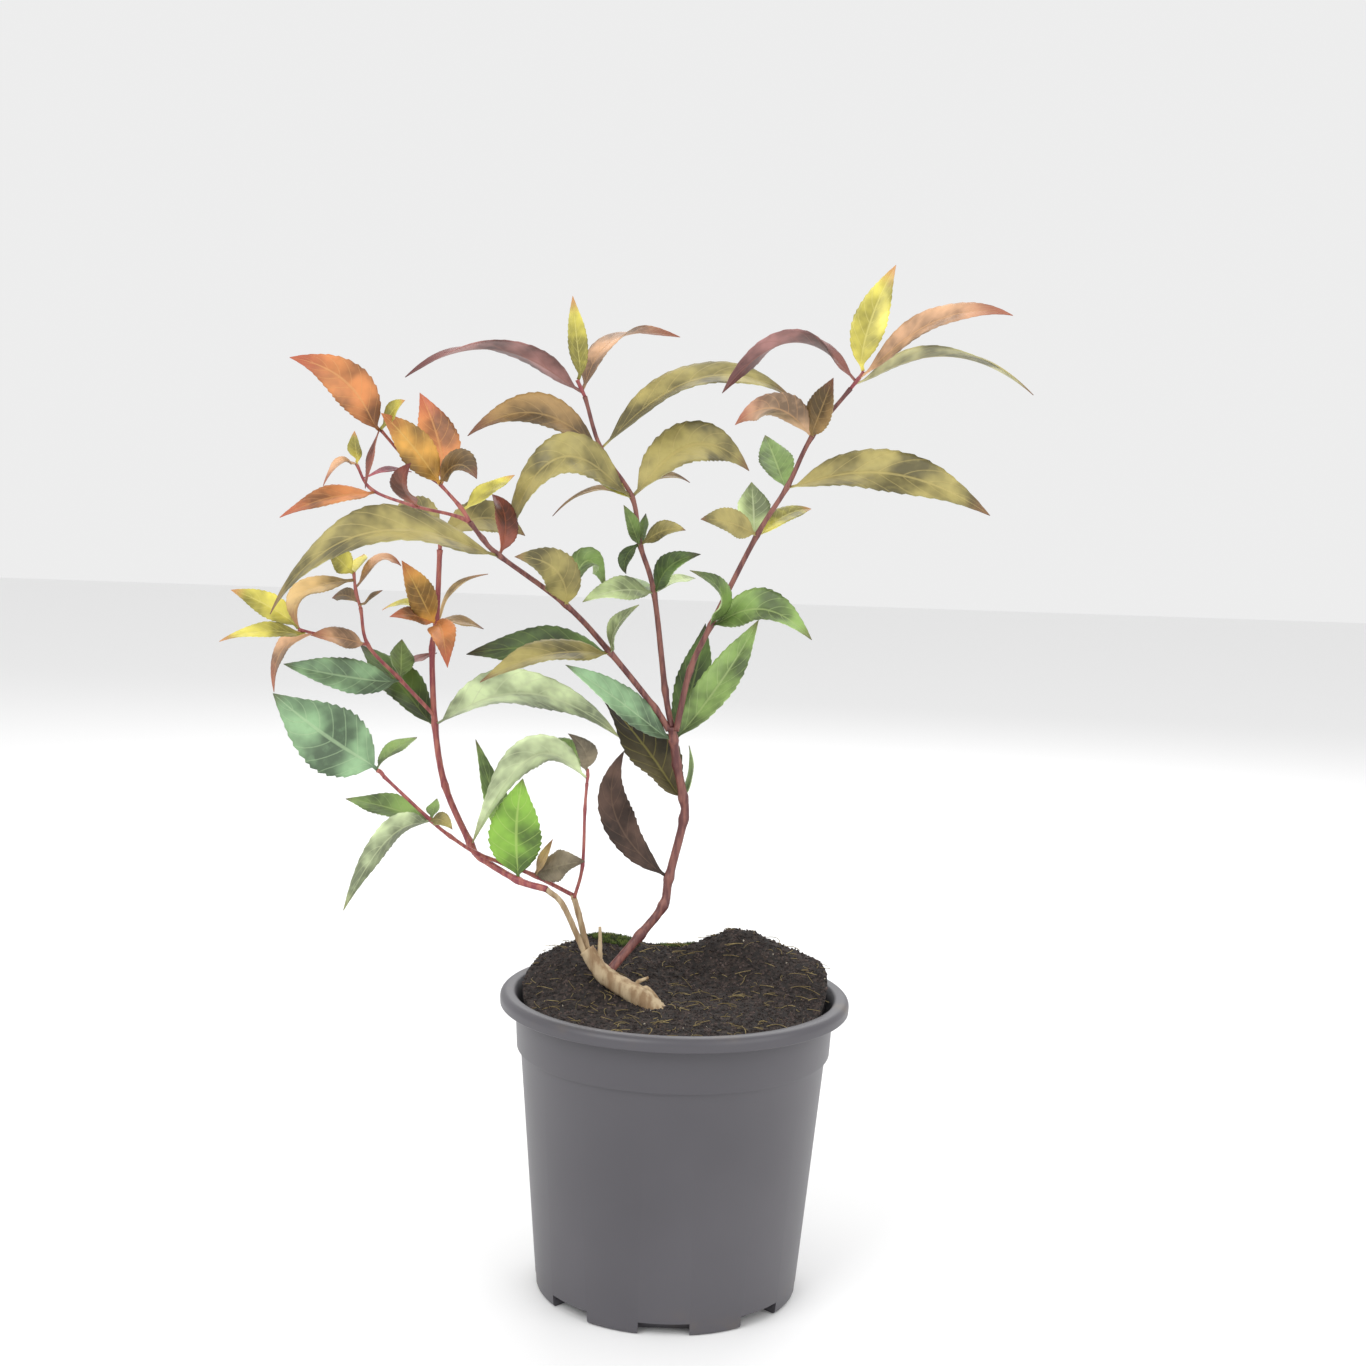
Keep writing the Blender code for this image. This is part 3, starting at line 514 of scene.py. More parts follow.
@dataclass(frozen=True)
class Mass:
    """A mass of leaves on a limb's waypoint, or grown on from the limb's tip."""

    name: str
    limb: str
    node: int
    slot: str
    leaves: tuple[Leaf, ...] = ()
    shoots: tuple[Shoot, ...] = ()


GREEN_SLOT, OLIVE_SLOT, COPPER_SLOT = "green_leaves", "olive_leaves", "copper_leaves"
LIME_SLOT, DEAD_SLOT = "lime_leaves", "dead_leaves"

LIMBS = (
    Limb("woody_crown", ((-6, -20, 138), (-16.5, -15, 146.5), (-34, -7, 155), (-43.5, -4, 166.5)),
         (5.8, 3.6), OLD_BARK),
    Limb("right_stem", ((-33, -5, 155.5), (-18, 2, 173), (-7, 6, 187.5), (-4.7, 8, 201), (1.6, 10, 230),
                        (1.0, 9, 240.5), (-2.6, 8, 257), (-4.7, 5.5, 269.5), (-5.6, 4, 276)),
         (2.3, 2.1), DARK_BARK),
    Limb("left_bough", ((-7.2, 3.6, 274.4), (-14.1, 1, 285), (-36.3, -6, 312), (-57.4, -14, 334.3),
                        (-88.5, -24, 357), (-96, -26, 364.5), (-102, -27, 372)), (1.6, 1.1), DARK_BARK),
    Limb("middle_bough", ((-5.8, 4.5, 275.6), (-9.6, 9, 293.3), (-16.6, 16, 340), (-24.2, 20, 363),
                          (-29, 24, 386), (-45, 28, 409), (-53.7, 30, 434)), (1.6, 1.0), DARK_BARK),
    Limb("right_bough", ((-3.6, 3.1, 274.2), (2.2, 0, 304), (11.5, -4, 326.5), (31.7, -8, 370),
                         (44.9, -10, 393), (55.7, -10, 417), (73, -8, 440)), (1.6, 1.0), DARK_BARK),
    Limb("old_stem_front", ((-44.2, -5.4, 165), (-55.3, -8, 189), (-63.5, -10, 197)), (1.5, 1.3), OLD_BARK),
    Limb("old_stem_back", ((-42.8, -2.9, 165), (-48.3, -1, 184.5), (-51, -1, 192.8)), (1.6, 1.4), OLD_BARK),
    Limb("left_stem", ((-63.2, -10, 197), (-77.5, -7, 200.3), (-96.5, 2, 209), (-102.4, 6, 215.5),
                       (-116.2, 14, 242), (-122.5, 20, 271), (-125.2, 24, 307.6), (-123.6, 26, 321),
                       (-122.9, 28, 357)), (1.7, 1.2), RED_BARK),
    Limb("low_branch", ((-50.6, -1, 192.4), (-70, 4, 200.4), (-85, 0, 206.8), (-98, -7, 213),
                        (-109.5, -16, 222.4), (-118, -24, 231.3), (-139, -32, 252.5)), (1.1, 0.8), RED_BARK),
    Limb("upright_twig", ((-50.2, -2.2, 191.6), (-46.6, -4, 208), (-46, -8, 236), (-45.3, -10, 249)),
         (0.9, 0.7), RED_BARK),
    Limb("side_bough", ((-123, 20.4, 275.6), (-139, 11, 294), (-153.2, 2, 311), (-156, -4, 329)),
         (1.0, 0.8), RED_BARK),
)

CROWN_SPURS = (
    (((-37, -4.5, 160), (-37, -4, 170), (-37.3, -4, 178)), (1.5, 0.7)),
    (((-16, -14, 146), (-18.5, -12, 152.5), (-13, -9, 155)), (1.4, 0.7)),
    (((-16.5, -14, 146), (-14, -13, 151), (-8, -16, 146), (-7, -19, 141)), (1.2, 0.8)),
)

MASSES = (
    Mass("hanging_dead_leaf", "right_stem", 3, DEAD_SLOT, (
        Leaf((-23, -22, 65), 18, Look.DEAD_BROWN, 50, 0, (-15, 0), 40),)),
    Mass("withered_leaves", "right_stem", 5, DEAD_SLOT, (
        Leaf((-43, 14, 49), 26, Look.BLACKENED, 50, -3, (4, 0)),
        Leaf((2, 14, 24), 11, Look.MID_GREEN, 15, 0, (3, 0)))),
    Mass("fork_leaves", "right_stem", 7, GREEN_SLOT, (
        Leaf((-51, -36, 38), 19, Look.BLUE_GREEN, 42, 1),
        Leaf((14, 44, 54), 18, Look.DEEP_GREEN, 78, 0, (2, 6)),
        Leaf((40, 24, 58), 20, Look.MID_GREEN, 62, 0, (3, 5)))),
    Mass("left_bough_low_leaves", "left_bough", 2, GREEN_SLOT, (
        Leaf((-72, 30, -6), 24, Look.DEEP_GREEN, 35, 3, (0, 0), 15),
        Leaf((-58, -34, -13), 20, Look.OLIVE, 32, 6),
        Leaf((14, -32, 25), 13, Look.PALE, 28, 0, (-4, 0)))),
    Mass("left_bough_middle_leaves", "left_bough", 3, OLIVE_SLOT, (
        Leaf((-22, -30, 23), 20, Look.OLIVE, 75, 6, (6, 0)),
        Leaf((17, 34, 6), 15, Look.MID_GREEN, 52, 17))),
    Mass("left_bough_high_leaves", "left_bough", 4, OLIVE_SLOT, (
        Leaf((-97, -42, -28), 29, Look.OLIVE, 34, 24, (-4, -30)),
        Leaf((-6, 20, 28), 15, Look.DARK_RED, 40, 3, (4, 0)))),
    Mass("copper_spray", "left_bough", 6, COPPER_SLOT, shoots=(
        Shoot(((0, 0, 0), (-5, 2, 7), (-15, 6, 17)), (1.0, 0.8), (
            Leaf((-24, -24, 31), 18, Look.AMBER, 65, 2),
            Leaf((-14, 26, 43), 20, Look.COPPER, 70, 0, (3, 0)),
            Leaf((20, -26, 3), 17, Look.BRONZE, 52, 7),
            Leaf((22, 18, 17), 11, Look.LIME, 45, 1, at=0.4))),
        Shoot(((-15, 6, 17), (-28, 0, 26), (-41, -8, 41)), (0.8, 0.7), (
            Leaf((-38, -18, 30), 20, Look.COPPER, 75, 6, (5, 0)),
            Leaf((-3, -20, -27), 9, Look.DARK_RED, 28),
            Leaf((13, -13, 13), 8, Look.LIME, 60, 2))))),
    Mass("outer_copper_spray", "left_bough", 5, COPPER_SLOT, shoots=(
        Shoot(((0, 0, 0), (-10, 4, 9), (-34, 12, 14), (-55, 18, 21), (-63, 21, 33)), (0.9, 0.7), (
            Leaf((2, -38, 20), 13, Look.DARK_RED, 60, 0, (-4, -6), at=0.48),
            Leaf((-39, -28, -13), 14, Look.COPPER, 42, 3, at=0.72),
            Leaf((20, 20, 4), 8, Look.CRIMSON, 18, 2, at=0.86),
            Leaf((-12, -18, -11), 8, Look.PINK_TAN, 32, 5),
            Leaf((0, -6, 15), 9, Look.LIME, 55))),)),
    Mass("middle_bough_low_leaves", "middle_bough", 2, GREEN_SLOT, (
        Leaf((-33, -30, -4), 16, Look.PALE, 42, 3),
        Leaf((-22, 34, 4), 11, Look.MID_GREEN, 14, 2),
        Leaf((22, -20, 20), 14, Look.DEEP_GREEN, 50, 3, (-4, 0)),
        Leaf((20, 34, 6), 12, Look.PALE, 22, 2))),
    Mass("middle_bough_small_leaves", "middle_bough", 3, GREEN_SLOT, (
        Leaf((-8, -14, 19), 9, Look.MID_GREEN, 52),
        Leaf((2, 16, 15), 8, Look.DEEP_GREEN, 45),
        Leaf((22, -16, 8), 11, Look.OLIVE, 50, 3),
        Leaf((-6, -12, -14), 8, Look.DEEP_GREEN, 60, 0, (-3, 0)))),
    Mass("middle_bough_high_leaves", "middle_bough", 4, OLIVE_SLOT, (
        Leaf((-59, -18, -24), 25, Look.OLIVE, 50, 29, (-4, -28)),
        Leaf((58, 40, 15), 28, Look.OLIVE, 55, 19),
        Leaf((-40, 20, -11), 9, Look.BRONZE, 16, 8),
        Leaf((-27, -14, 14), 9, Look.LIME, 55, 2),
        Leaf((28, 22, 8), 10, Look.BRONZE, 22, 6))),
    Mass("middle_bough_top_leaves", "middle_bough", 5, OLIVE_SLOT, (
        Leaf((-61, -38, 3), 24, Look.BRONZE, 42, 14),
        Leaf((95, 38, 29), 26, Look.OLIVE, 34, 22))),
    Mass("middle_top_spray", "middle_bough", 6, COPPER_SLOT, shoots=(
        Shoot(((0, 0, 0), (-2, 0, 4), (-4, 0, 8)), (0.9, 0.8), (
            Leaf((-84, -20, 3), 24, Look.PURPLE, -52, 17, (0, 0), 88, 0.3),
            Leaf((47, 36, 30), 20, Look.PINK_TAN, 65, 11, (-9, 0), -100, 0.4),
            Leaf((-3, -4, 40), 11, Look.LIME, 65))),)),
    Mass("right_bough_low_leaves", "right_bough", 2, GREEN_SLOT, (
        Leaf((-11, -34, 27), 14, Look.MID_GREEN, 32, 2, (10, 0)),
        Leaf((46, -34, -3), 22, Look.MID_GREEN, 46, 11))),
    Mass("right_bough_middle_leaves", "right_bough", 3, GREEN_SLOT, (
        Leaf((-3, 18, 25), 17, Look.PALE, 82),
        Leaf((-27, -26, 7), 15, Look.OLIVE, 60, 2),
        Leaf((27, 30, 13), 12, Look.LIME, 45, 3))),
    Mass("right_bough_high_leaves", "right_bough", 4, OLIVE_SLOT, (
        Leaf((93, -20, -10), 27, Look.OLIVE, 32, 13, (0, 0), 40),
        Leaf((-10, 34, 25), 17, Look.MID_GREEN, 78))),
    Mass("right_bough_top_leaves", "right_bough", 5, OLIVE_SLOT, (
        Leaf((-37, -36, 3), 19, Look.PINK_TAN, -45, 10),
        Leaf((7, -26, 26), 15, Look.BRONZE, 60))),
    Mass("right_top_spray", "right_bough", 6, COPPER_SLOT, shoots=(
        Shoot(((0, 0, 0), (3, 0, 4), (6, 0, 8)), (0.9, 0.8), (
            Leaf((-63, -32, -9), 23, Look.PURPLE, 46, 20, (0, 0), -108, 0.4),
            Leaf((89, 28, -1), 23, Look.OLIVE, -28, 16, (0, 0), 50, 0.3),
            Leaf((13, 2, 50), 17, Look.LIME, 78, 0, (-3, 0)),
            Leaf((64, -38, 27), 17, Look.PINK_TAN, 30, 12, (0, 0), 18, 0.7))),)),
    Mass("left_stem_foot_leaves", "left_stem", 1, GREEN_SLOT, (
        Leaf((2, -9, 51), 27, Look.BRIGHT_GREEN, 85, 0, (-2, 0)),
        Leaf((-24, 20, 65), 16, Look.MID_GREEN, 45))),
    Mass("left_stem_pale_leaves", "left_stem", 5, GREEN_SLOT, (
        Leaf((92, -38, 2), 31, Look.PALE, -36, 18, (0, 0), -14),
        Leaf((-42, 26, 36), 22, Look.DEEP_GREEN, 48, 2))),
    Mass("left_stem_copper_spray", "left_stem", 7, COPPER_SLOT, (
        Leaf((-14, -24, 31), 16, Look.AMBER, 60),
        Leaf((10, -32, -19), 14, Look.COPPER, 65, 5),
        Leaf((-19, -26, 4), 10, Look.COPPER, 45, 2),
        Leaf((23, 18, 24), 9, Look.TAN, 20, 4, (-5, 0)),
        Leaf((-30, 20, 4), 9, Look.LIME, 20, 6),
        Leaf((21, 22, -4), 9, Look.BRONZE, 25, 2))),
    Mass("left_stem_top_leaves", "left_stem", 8, OLIVE_SLOT, shoots=(
        Shoot(((0, 0, 0), (0, 1, 4), (0, 2, 7)), (1.0, 0.9), (
            Leaf((-34, 46, 2), 20, Look.OLIVE, 60, 9),
            Leaf((38, 42, 0), 20, Look.OLIVE, 60, 9))),)),
    Mass("side_bough_low_leaves", "side_bough", 1, GREEN_SLOT, (
        Leaf((-49, -36, 9), 19, Look.BLUE_GREEN, 55, -1, (0, -4)),
        Leaf((-2, 18, 18), 13, Look.MID_GREEN, 60),
        Leaf((13, 38, 10), 10, Look.PURPLE, 30, 0, (-5, 8)))),
    Mass("far_left_spray", "side_bough", 2, LIME_SLOT, shoots=(
        Shoot(((0, 0, 0), (-12, -10, 3), (-29, -22, 8)), (0.8, 0.7), (
            Leaf((-20, -22, 5), 12, Look.PINK_TAN, 45, 1, at=0.12),
            Leaf((-30, -8, 18), 13, Look.LIME, 60, 2),
            Leaf((-34, -26, -4), 10, Look.LIME, 38, 3, at=0.92),
            Leaf((-22, 20, -31), 12, Look.PINK_TAN, 42, 6, (-5, 0), at=0.84))),)),
    Mass("side_bough_top_spray", "side_bough", 3, LIME_SLOT, shoots=(
        Shoot(((0, 0, 0), (-2, -2, 8), (-3, -3, 17)), (0.8, 0.7), (
            Leaf((-19, -34, -21), 14, Look.TAN, 50, 4, (-11, 0), at=0.8),
            Leaf((-10, -18, 9), 12, Look.LIME, 65, 2),
            Leaf((1, 22, 8), 10, Look.LIME, 60),
            Leaf((18, 24, 10), 9, Look.PINK_TAN, 35, 8, at=0.6),
            Leaf((-16, 18, 0), 9, Look.BRONZE, 45, 2, at=0.2),
            Leaf((13, -14, 8), 6, Look.BRONZE, 25, at=0.1))),)),
    Mass("low_branch_leaves", "low_branch", 5, GREEN_SLOT, (
        Leaf((-43, 16, 6), 16, Look.MID_GREEN, 36, 1),
        Leaf((-35, -30, -38), 18, Look.PALE, -42, 12),
        Leaf((2, 8, 9), 8, Look.MID_GREEN, 55),
        Leaf((12, -12, -2), 8, Look.OLIVE, 50, 2))),
    Mass("low_branch_tip_leaf", "low_branch", 6, GREEN_SLOT, shoots=(
        Shoot(((0, 0, 0), (-1.5, 0, 2), (-3, -1, 3)), (0.8, 0.8), (
            Leaf((-46, -14, 36), 33, Look.BLUE_GREEN, 75, -2),
            Leaf((14, 30, 12), 12, Look.MID_GREEN, 30, 2))),)),
    Mass("upright_twig_leaves", "upright_twig", 3, GREEN_SLOT, shoots=(
        Shoot(((0, 0, 0), (0.3, 0, 4), (0, 0, 7)), (0.7, 0.7), (
            Leaf((-53, -12, -31), 25, Look.PALE, -42, 25, at=0.3),
            Leaf((-27, 28, 7), 14, Look.MID_GREEN, 32, 4),
            Leaf((-9, -10, 18), 11, Look.GREY_DEAD, 55, 0, (4, 0)))),)),
    Mass("dead_leaf_on_old_stem", "low_branch", 1, DEAD_SLOT, (
        Leaf((25, -20, 12), 16, Look.GREY_DEAD, 55, 1),
        Leaf((9, -14, 21), 6, Look.TAN, 50))),
)


def smooth_path(points: tuple[Point, ...], stations: int) -> list[Vector]:
    """Points on the Catmull-Rom curve through the waypoints.

    Args:
        points: The waypoints, in millimetres.
        stations: Steps from one waypoint to the next.

    Returns:
        The path's points.
    """
    knots = [Vector(p) for p in points]
    knots = [knots[0] * 2 - knots[1], *knots, knots[-1] * 2 - knots[-2]]
    path = []
    for i in range(1, len(knots) - 2):
        a, b, c, d = knots[i - 1:i + 3]
        for step in range(stations):
            t = step / stations
            path.append(0.5 * (2 * b + (c - a) * t + (2 * a - 5 * b + 4 * c - d) * t ** 2
                               + (3 * b - a - 3 * c + d) * t ** 3))
    path.append(knots[-2])
    return path


def object_from(name: str, work: bmesh.types.BMesh, materials: list[bpy.types.Material]) -> bpy.types.Object:
    """Turn a working mesh into a smooth-shaded object at the origin, and free it.

    Args:
        name: The object's name.
        work: The working mesh.
        materials: The object's materials, in the order of the mesh's indices.

    Returns:
        The object.
    """
    mesh = bpy.data.meshes.new(name)
    work.to_mesh(mesh)
    work.free()
    for material in materials:
        mesh.materials.append(material)
    mesh.shade_smooth()
    piece = bpy.data.objects.new(name, mesh)
    bpy.context.scene.collection.objects.link(piece)
    return piece


def baked(piece: bpy.types.Object) -> bpy.types.Object:
    """Replace a piece's mesh by what its modifiers make of it, and remove them.

    Args:
        piece: The piece.

    Returns:
        The same piece.
    """
    graph = bpy.context.evaluated_depsgraph_get()
    mesh = bpy.data.meshes.new_from_object(piece.evaluated_get(graph))
    piece.modifiers.clear()
    piece.data = mesh
    mesh.name = piece.name
    return piece


def seat(piece: bpy.types.Object, slot: str, *nodes: str) -> None:
    """Make a finished piece part of the plant.

    Args:
        piece: The piece.
        slot: Not used.
        nodes: The CAD nodes that it stands for.
    """
    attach(piece, "root")
    if nodes:
        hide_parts(*nodes)
    LOG.info("%s: %d faces", piece.name, len(piece.data.polygons))


@dataclass
class StemMaker:
    """Makes round stems with ridges, swollen nodes and a fine bark relief.

    swelling, ridge and roughness are shares of the radius.
    """

    sides: int = 12
    swelling: float = 0.3
    swelling_length: float = 2.4
    ridges: int = 4
    ridge: float = 0.05
    roughness: float = 0.03
    no_node: float = 99.0

    def add(self, work: bmesh.types.BMesh, path: list[Vector], radii: Span, knots: list[Vector],
            seed: int) -> None:
        """Add one stem to a working mesh.

        Args:
            work: The mesh that gets the stem.
            path: The stem's centre line, in millimetres.
            radii: Its radius at its foot and tip.
            knots: Where its nodes are.
            seed: The seed of its relief.
        """
        dice = random.Random(seed)
        side = (path[1] - path[0]).orthogonal().normalized()
        rings = []
        travelled = 0.0
        total = sum((b - a).length for a, b in zip(path, path[1:]))
        for i, point in enumerate(path):
            ahead = path[min(i + 1, len(path) - 1)]
            behind = path[max(i - 1, 0)]
            along = (ahead - behind).normalized()
            if i:
                travelled += (point - path[i - 1]).length
            side = (side - along * side.dot(along)).normalized()
            up = along.cross(side)
            radius = radii[0] + (radii[1] - radii[0]) * travelled / total
            nearest = min(((point - knot).length for knot in knots), default=self.no_node)
            radius *= 1.0 + self.swelling * math.exp(-(nearest / self.swelling_length) ** 2)
            ring = []
            for k in range(self.sides):
                angle = 2 * math.pi * k / self.sides
                relief = self.ridge * math.cos(self.ridges * angle) + dice.uniform(-1, 1) * self.roughness
                reach = (side * math.cos(angle) + up * math.sin(angle)) * (radius * (1.0 + relief))
                ring.append(work.verts.new((point + reach) * MM))
            rings.append(ring)
        for a, b in zip(rings, rings[1:]):
            for k in range(self.sides):
                n = (k + 1) % self.sides
                work.faces.new((a[k], a[n], b[n], b[k]))
        work.faces.new(list(reversed(rings[0])))
        work.faces.new(rings[-1])


@dataclass
class BladeMaker:
    """Makes leaf blades: ovate with a drawn-out tip, serrated, folded, puckered between the veins.

    widest, fullness and taper shape the blade's outline, and bulge is how far its root stands off its
    stem. waves and lag are the turns of a margin's waves and how far one margin trails the other.
    """

    rows: int = 56
    columns: int = 12
    small_rows: int = 36
    small_columns: int = 8
    small_length: float = 32.0
    petiole_share: float = 0.036
    petiole_width: float = 1.8
    tip_width: float = 0.7
    tip_spare: float = 1.2
    widest: float = 0.8
    fullness: float = 0.9
    taper: float = 0.25
    bulge: float = 2.2
    bulge_share: float = 0.06
    fold: float = math.radians(14.0)
    teeth: int = 15
    tooth_depth: float = 0.045
    tooth_band: int = 6
    pucker: float = 0.32
    pucker_start: float = 4.0
    wave: float = 0.045
    wave_spread: Span = (0.6, 1.4)
    waves: float = 9.0
    lag: float = 1.4
    dead_crinkle: float = 3.0
    thickness: float = 0.34
    step: float = 0.002

    def width(self, leaf: Leaf, t: float) -> float:
        """The blade's width.

        Args:
            leaf: The leaf.
            t: The share of its length.

        Returns:
            The width there, in millimetres.
        """
        if t <= self.petiole_share:
            return self.petiole_width
        s = (t - self.petiole_share) / (1.0 - self.petiole_share)
        swell = max(math.sin(math.pi * min(s, 1.0) ** self.widest), 0.0) ** self.fullness
        swell *= 1.0 - self.taper * s ** 3
        return max(leaf.width * swell, self.petiole_width * (1.0 - s), self.tip_width * (self.tip_spare - s))

    def midrib(self, leaf: Leaf, root: Vector, node: Vector, outward: Vector, t: float) -> Vector:
        """A point of the midrib, which runs from root to tip through the arched middle.

        Args:
            leaf: The leaf.
            root: Where it springs from its stem.
            node: The node that its tip is measured from.
            outward: The direction away from its stem.
            t: The share of its length.

        Returns:
            The point, in millimetres.
        """
        tip = node + Vector(leaf.tip)
        middle = (root + tip) / 2 + Vector((leaf.bow[0], leaf.bow[1], leaf.lift))
        control = middle * 2 - (root + tip) / 2
        bulge = self.bulge * (1.0 - math.exp(-t / self.bulge_share)) * (1.0 - t) ** 2
        return root * (1 - t) ** 2 + control * (2 * t * (1 - t)) + tip * t ** 2 + outward * bulge

    def frame(self, leaf: Leaf, along: Vector, t: float) -> tuple[Vector, Vector]:
        """The blade's own directions.

        Args:
            leaf: The leaf.
            along: The midrib's direction.
            t: The share of its length.

        Returns:
            Its sideways and its upward direction there.
        """
        to_front = (FRONT - along * FRONT.dot(along)).normalized()
        edge_on = to_front.cross(along)
        if leaf.tip[0] < 0:
            edge_on = -edge_on
        roll = math.radians(leaf.roll + leaf.twist * t)
        normal = edge_on * math.cos(roll) + to_front * math.sin(roll)
        return normal.cross(along).normalized(), normal.normalized()

    def add(self, work: bmesh.types.BMesh, leaf: Leaf, root: Vector, node: Vector, outward: Vector,
            index: int, seed: int) -> None:
        """Add one open blade to a working mesh, with its own map and material index.

        Args:
            work: The mesh that gets the blade.
            leaf: The leaf's sizes.
            root: Where it springs from its stem.
            node: The node that its tip is measured from.
            outward: The direction away from its stem.
            index: Its material index.
            seed: The seed of its waves.
        """
        dice = random.Random(seed)
        small = Vector(leaf.tip).length < self.small_length
        rows = self.small_rows if small else self.rows
        columns = self.small_columns if small else self.columns
        layer = work.loops.layers.uv.verify()
        made = bmesh.ops.create_grid(work, x_segments=rows, y_segments=columns, size=1.0)["verts"]
        places = {v: (v.co.x, v.co.y) for v in made}
        phase = dice.uniform(0, 6.28)
        wave = self.wave * dice.uniform(*self.wave_spread)
        dead = leaf.look in (Look.DEAD_BROWN, Look.BLACKENED, Look.GREY_DEAD)
        crinkle = self.dead_crinkle if dead else 1.0
        for face in {f for v in made for f in v.link_faces}:
            face.material_index = index
            face.smooth = True
            for loop in face.loops:
                x, y = places[loop.vert]
                loop[layer].uv = ((y + 1) / 2, (x + 1) / 2)
        for v, (x, y) in places.items():
            t = (x + 1) / 2
            spot = self.midrib(leaf, root, node, outward, t)
            ahead = self.midrib(leaf, root, node, outward, min(t + self.step, 1.0))
            behind = self.midrib(leaf, root, node, outward, max(t - self.step, 0.0))
            sideways, normal = self.frame(leaf, (ahead - behind).normalized(), t)
            half = self.width(leaf, t) / 2
            tooth = (t * self.teeth) % 1.0
            edge = abs(y)
            reach = half * y * (1.0 + self.tooth_depth * (tooth - 0.5) * edge ** self.tooth_band * 2)
            wide = half / max(leaf.width / 2, 0.1)
            lines = t * VEIN_COUNT - VEIN_LEAN * edge ** VEIN_CURVE
            between = abs(math.sin(math.pi * (lines + 0.5)))
            pucker = self.pucker * between * wide * (1 - edge ** 3) * min(edge * self.pucker_start, 1)
            turn = math.sin(self.waves * t + phase + (self.lag if y > 0 else 0))
            rise = edge * half * math.sin(self.fold) + pucker * crinkle
            rise += wave * leaf.width * crinkle * edge ** 2 * turn * wide
            v.co = (spot + sideways * reach * math.cos(self.fold) + normal * rise) * MM

    def finish(self, piece: bpy.types.Object) -> bpy.types.Object:
        """Give the open blades their thickness, with the underside's material on the other side.

        Args:
            piece: The blades.

        Returns:
            The same piece.
        """
        shell = piece.modifiers.new("thickness", "SOLIDIFY")
        shell.thickness = self.thickness * MM
        shell.offset = 0.0
        shell.material_offset = 1
        shell.material_offset_rim = 1
        return baked(piece)


@dataclass
class Plant:
    """The shrub: its limbs and its masses of leaves.

    root_gap is how far a leaf's root stands off its node. The seeds count up by seed_step.
    """

    stems: StemMaker
    old_stems: StemMaker
    blades: BladeMaker
    limbs: tuple[Limb, ...] = LIMBS
    masses: tuple[Mass, ...] = MASSES
    stations: int = 14
    twig_stations: int = 8
    root_gap: float = 0.5
    limb_seed: int = 100
    mass_seed: int = 500
    seed_step: int = 10
    leaf_seed_step: int = 31

    def limb_place(self, limb: Limb, node: int) -> tuple[Vector, Vector]:
        """A waypoint of a limb.

        Args:
            limb: The limb.
            node: The waypoint's number.

        Returns:
            The point, and the limb's direction there.
        """
        path = smooth_path(limb.points, self.stations)
        i = node * self.stations
        along = path[min(i + 1, len(path) - 1)] - path[max(i - 1, 0)]
        return path[i], along.normalized()

    def build_limb(self, limb: Limb, seed: int) -> None:
        """Build one limb with its nodes swollen.

        Args:
            limb: The limb.
            seed: The seed of its relief.
        """
        work = bmesh.new()
        old = limb.bark is OLD_BARK
        maker = self.old_stems if old else self.stems
        knots = [Vector(p) for p in limb.points[1:]]
        maker.add(work, smooth_path(limb.points, self.stations), limb.radii, knots, seed)
        if limb.name == "woody_crown":
            for number, (points, radii) in enumerate(CROWN_SPURS):
                maker.add(work, smooth_path(points, self.twig_stations), radii, [], seed + number + 1)
        piece = object_from(limb.name + "_bark", work, [limb.bark.material()])
        seat(piece, "old_bark" if old else "young_bark", limb.name)

    def build_mass(self, mass: Mass, limb: Limb, seed: int) -> None:
        """Build one mass: its blades as one piece, and its twigs, if it has any, as another.

        Args:
            mass: The mass.
            limb: The limb that carries it.
            seed: The seed of its twigs' relief and its leaves' waves.
        """
        place, along = self.limb_place(limb, mass.node)
        looks = []
        work = bmesh.new()
        twigs = bmesh.new()
        entries = [(leaf, place, along) for leaf in mass.leaves]
        for number, shoot in enumerate(mass.shoots):
            path = smooth_path(tuple(place + Vector(p) for p in shoot.points), self.twig_stations)
            knots = [place + Vector(p) for p in shoot.points[1:]]
            self.stems.add(twigs, path, shoot.radii, knots, seed + number)
            for leaf in shoot.leaves:
                spot = leaf.at * (len(path) - 1)
                i = min(int(spot), len(path) - 2)
                node = path[i].lerp(path[i + 1], spot - i)
                entries.append((leaf, node, (path[i + 1] - path[i]).normalized()))
        for number, (leaf, node, direction) in enumerate(entries):
            if leaf.look not in looks:
                looks.append(leaf.look)
            away = Vector(leaf.tip) - direction * Vector(leaf.tip).dot(direction)
            away.normalize()
            root = node + away * self.root_gap
            index = looks.index(leaf.look) * 2
            self.blades.add(work, leaf, root, node, away, index, seed * self.leaf_seed_step + number)
        materials = [side for look in looks for side in LEAF_FINISHES[look].materials()]
        piece = self.blades.finish(object_from(mass.name + "_blades", work, materials))
        seat(piece, mass.slot, mass.name)
        if mass.shoots:
            seat(object_from(mass.name + "_twigs", twigs, [RED_BARK.material()]), "young_bark")
        else:
            twigs.free()

    def build(self) -> None:
        """Build every limb and every mass."""
        named = {limb.name: limb for limb in self.limbs}
        for number, limb in enumerate(self.limbs):
            self.build_limb(limb, self.limb_seed + number * self.seed_step)
        for number, mass in enumerate(self.masses):
            self.build_mass(mass, named[mass.limb], self.mass_seed + number * self.seed_step)


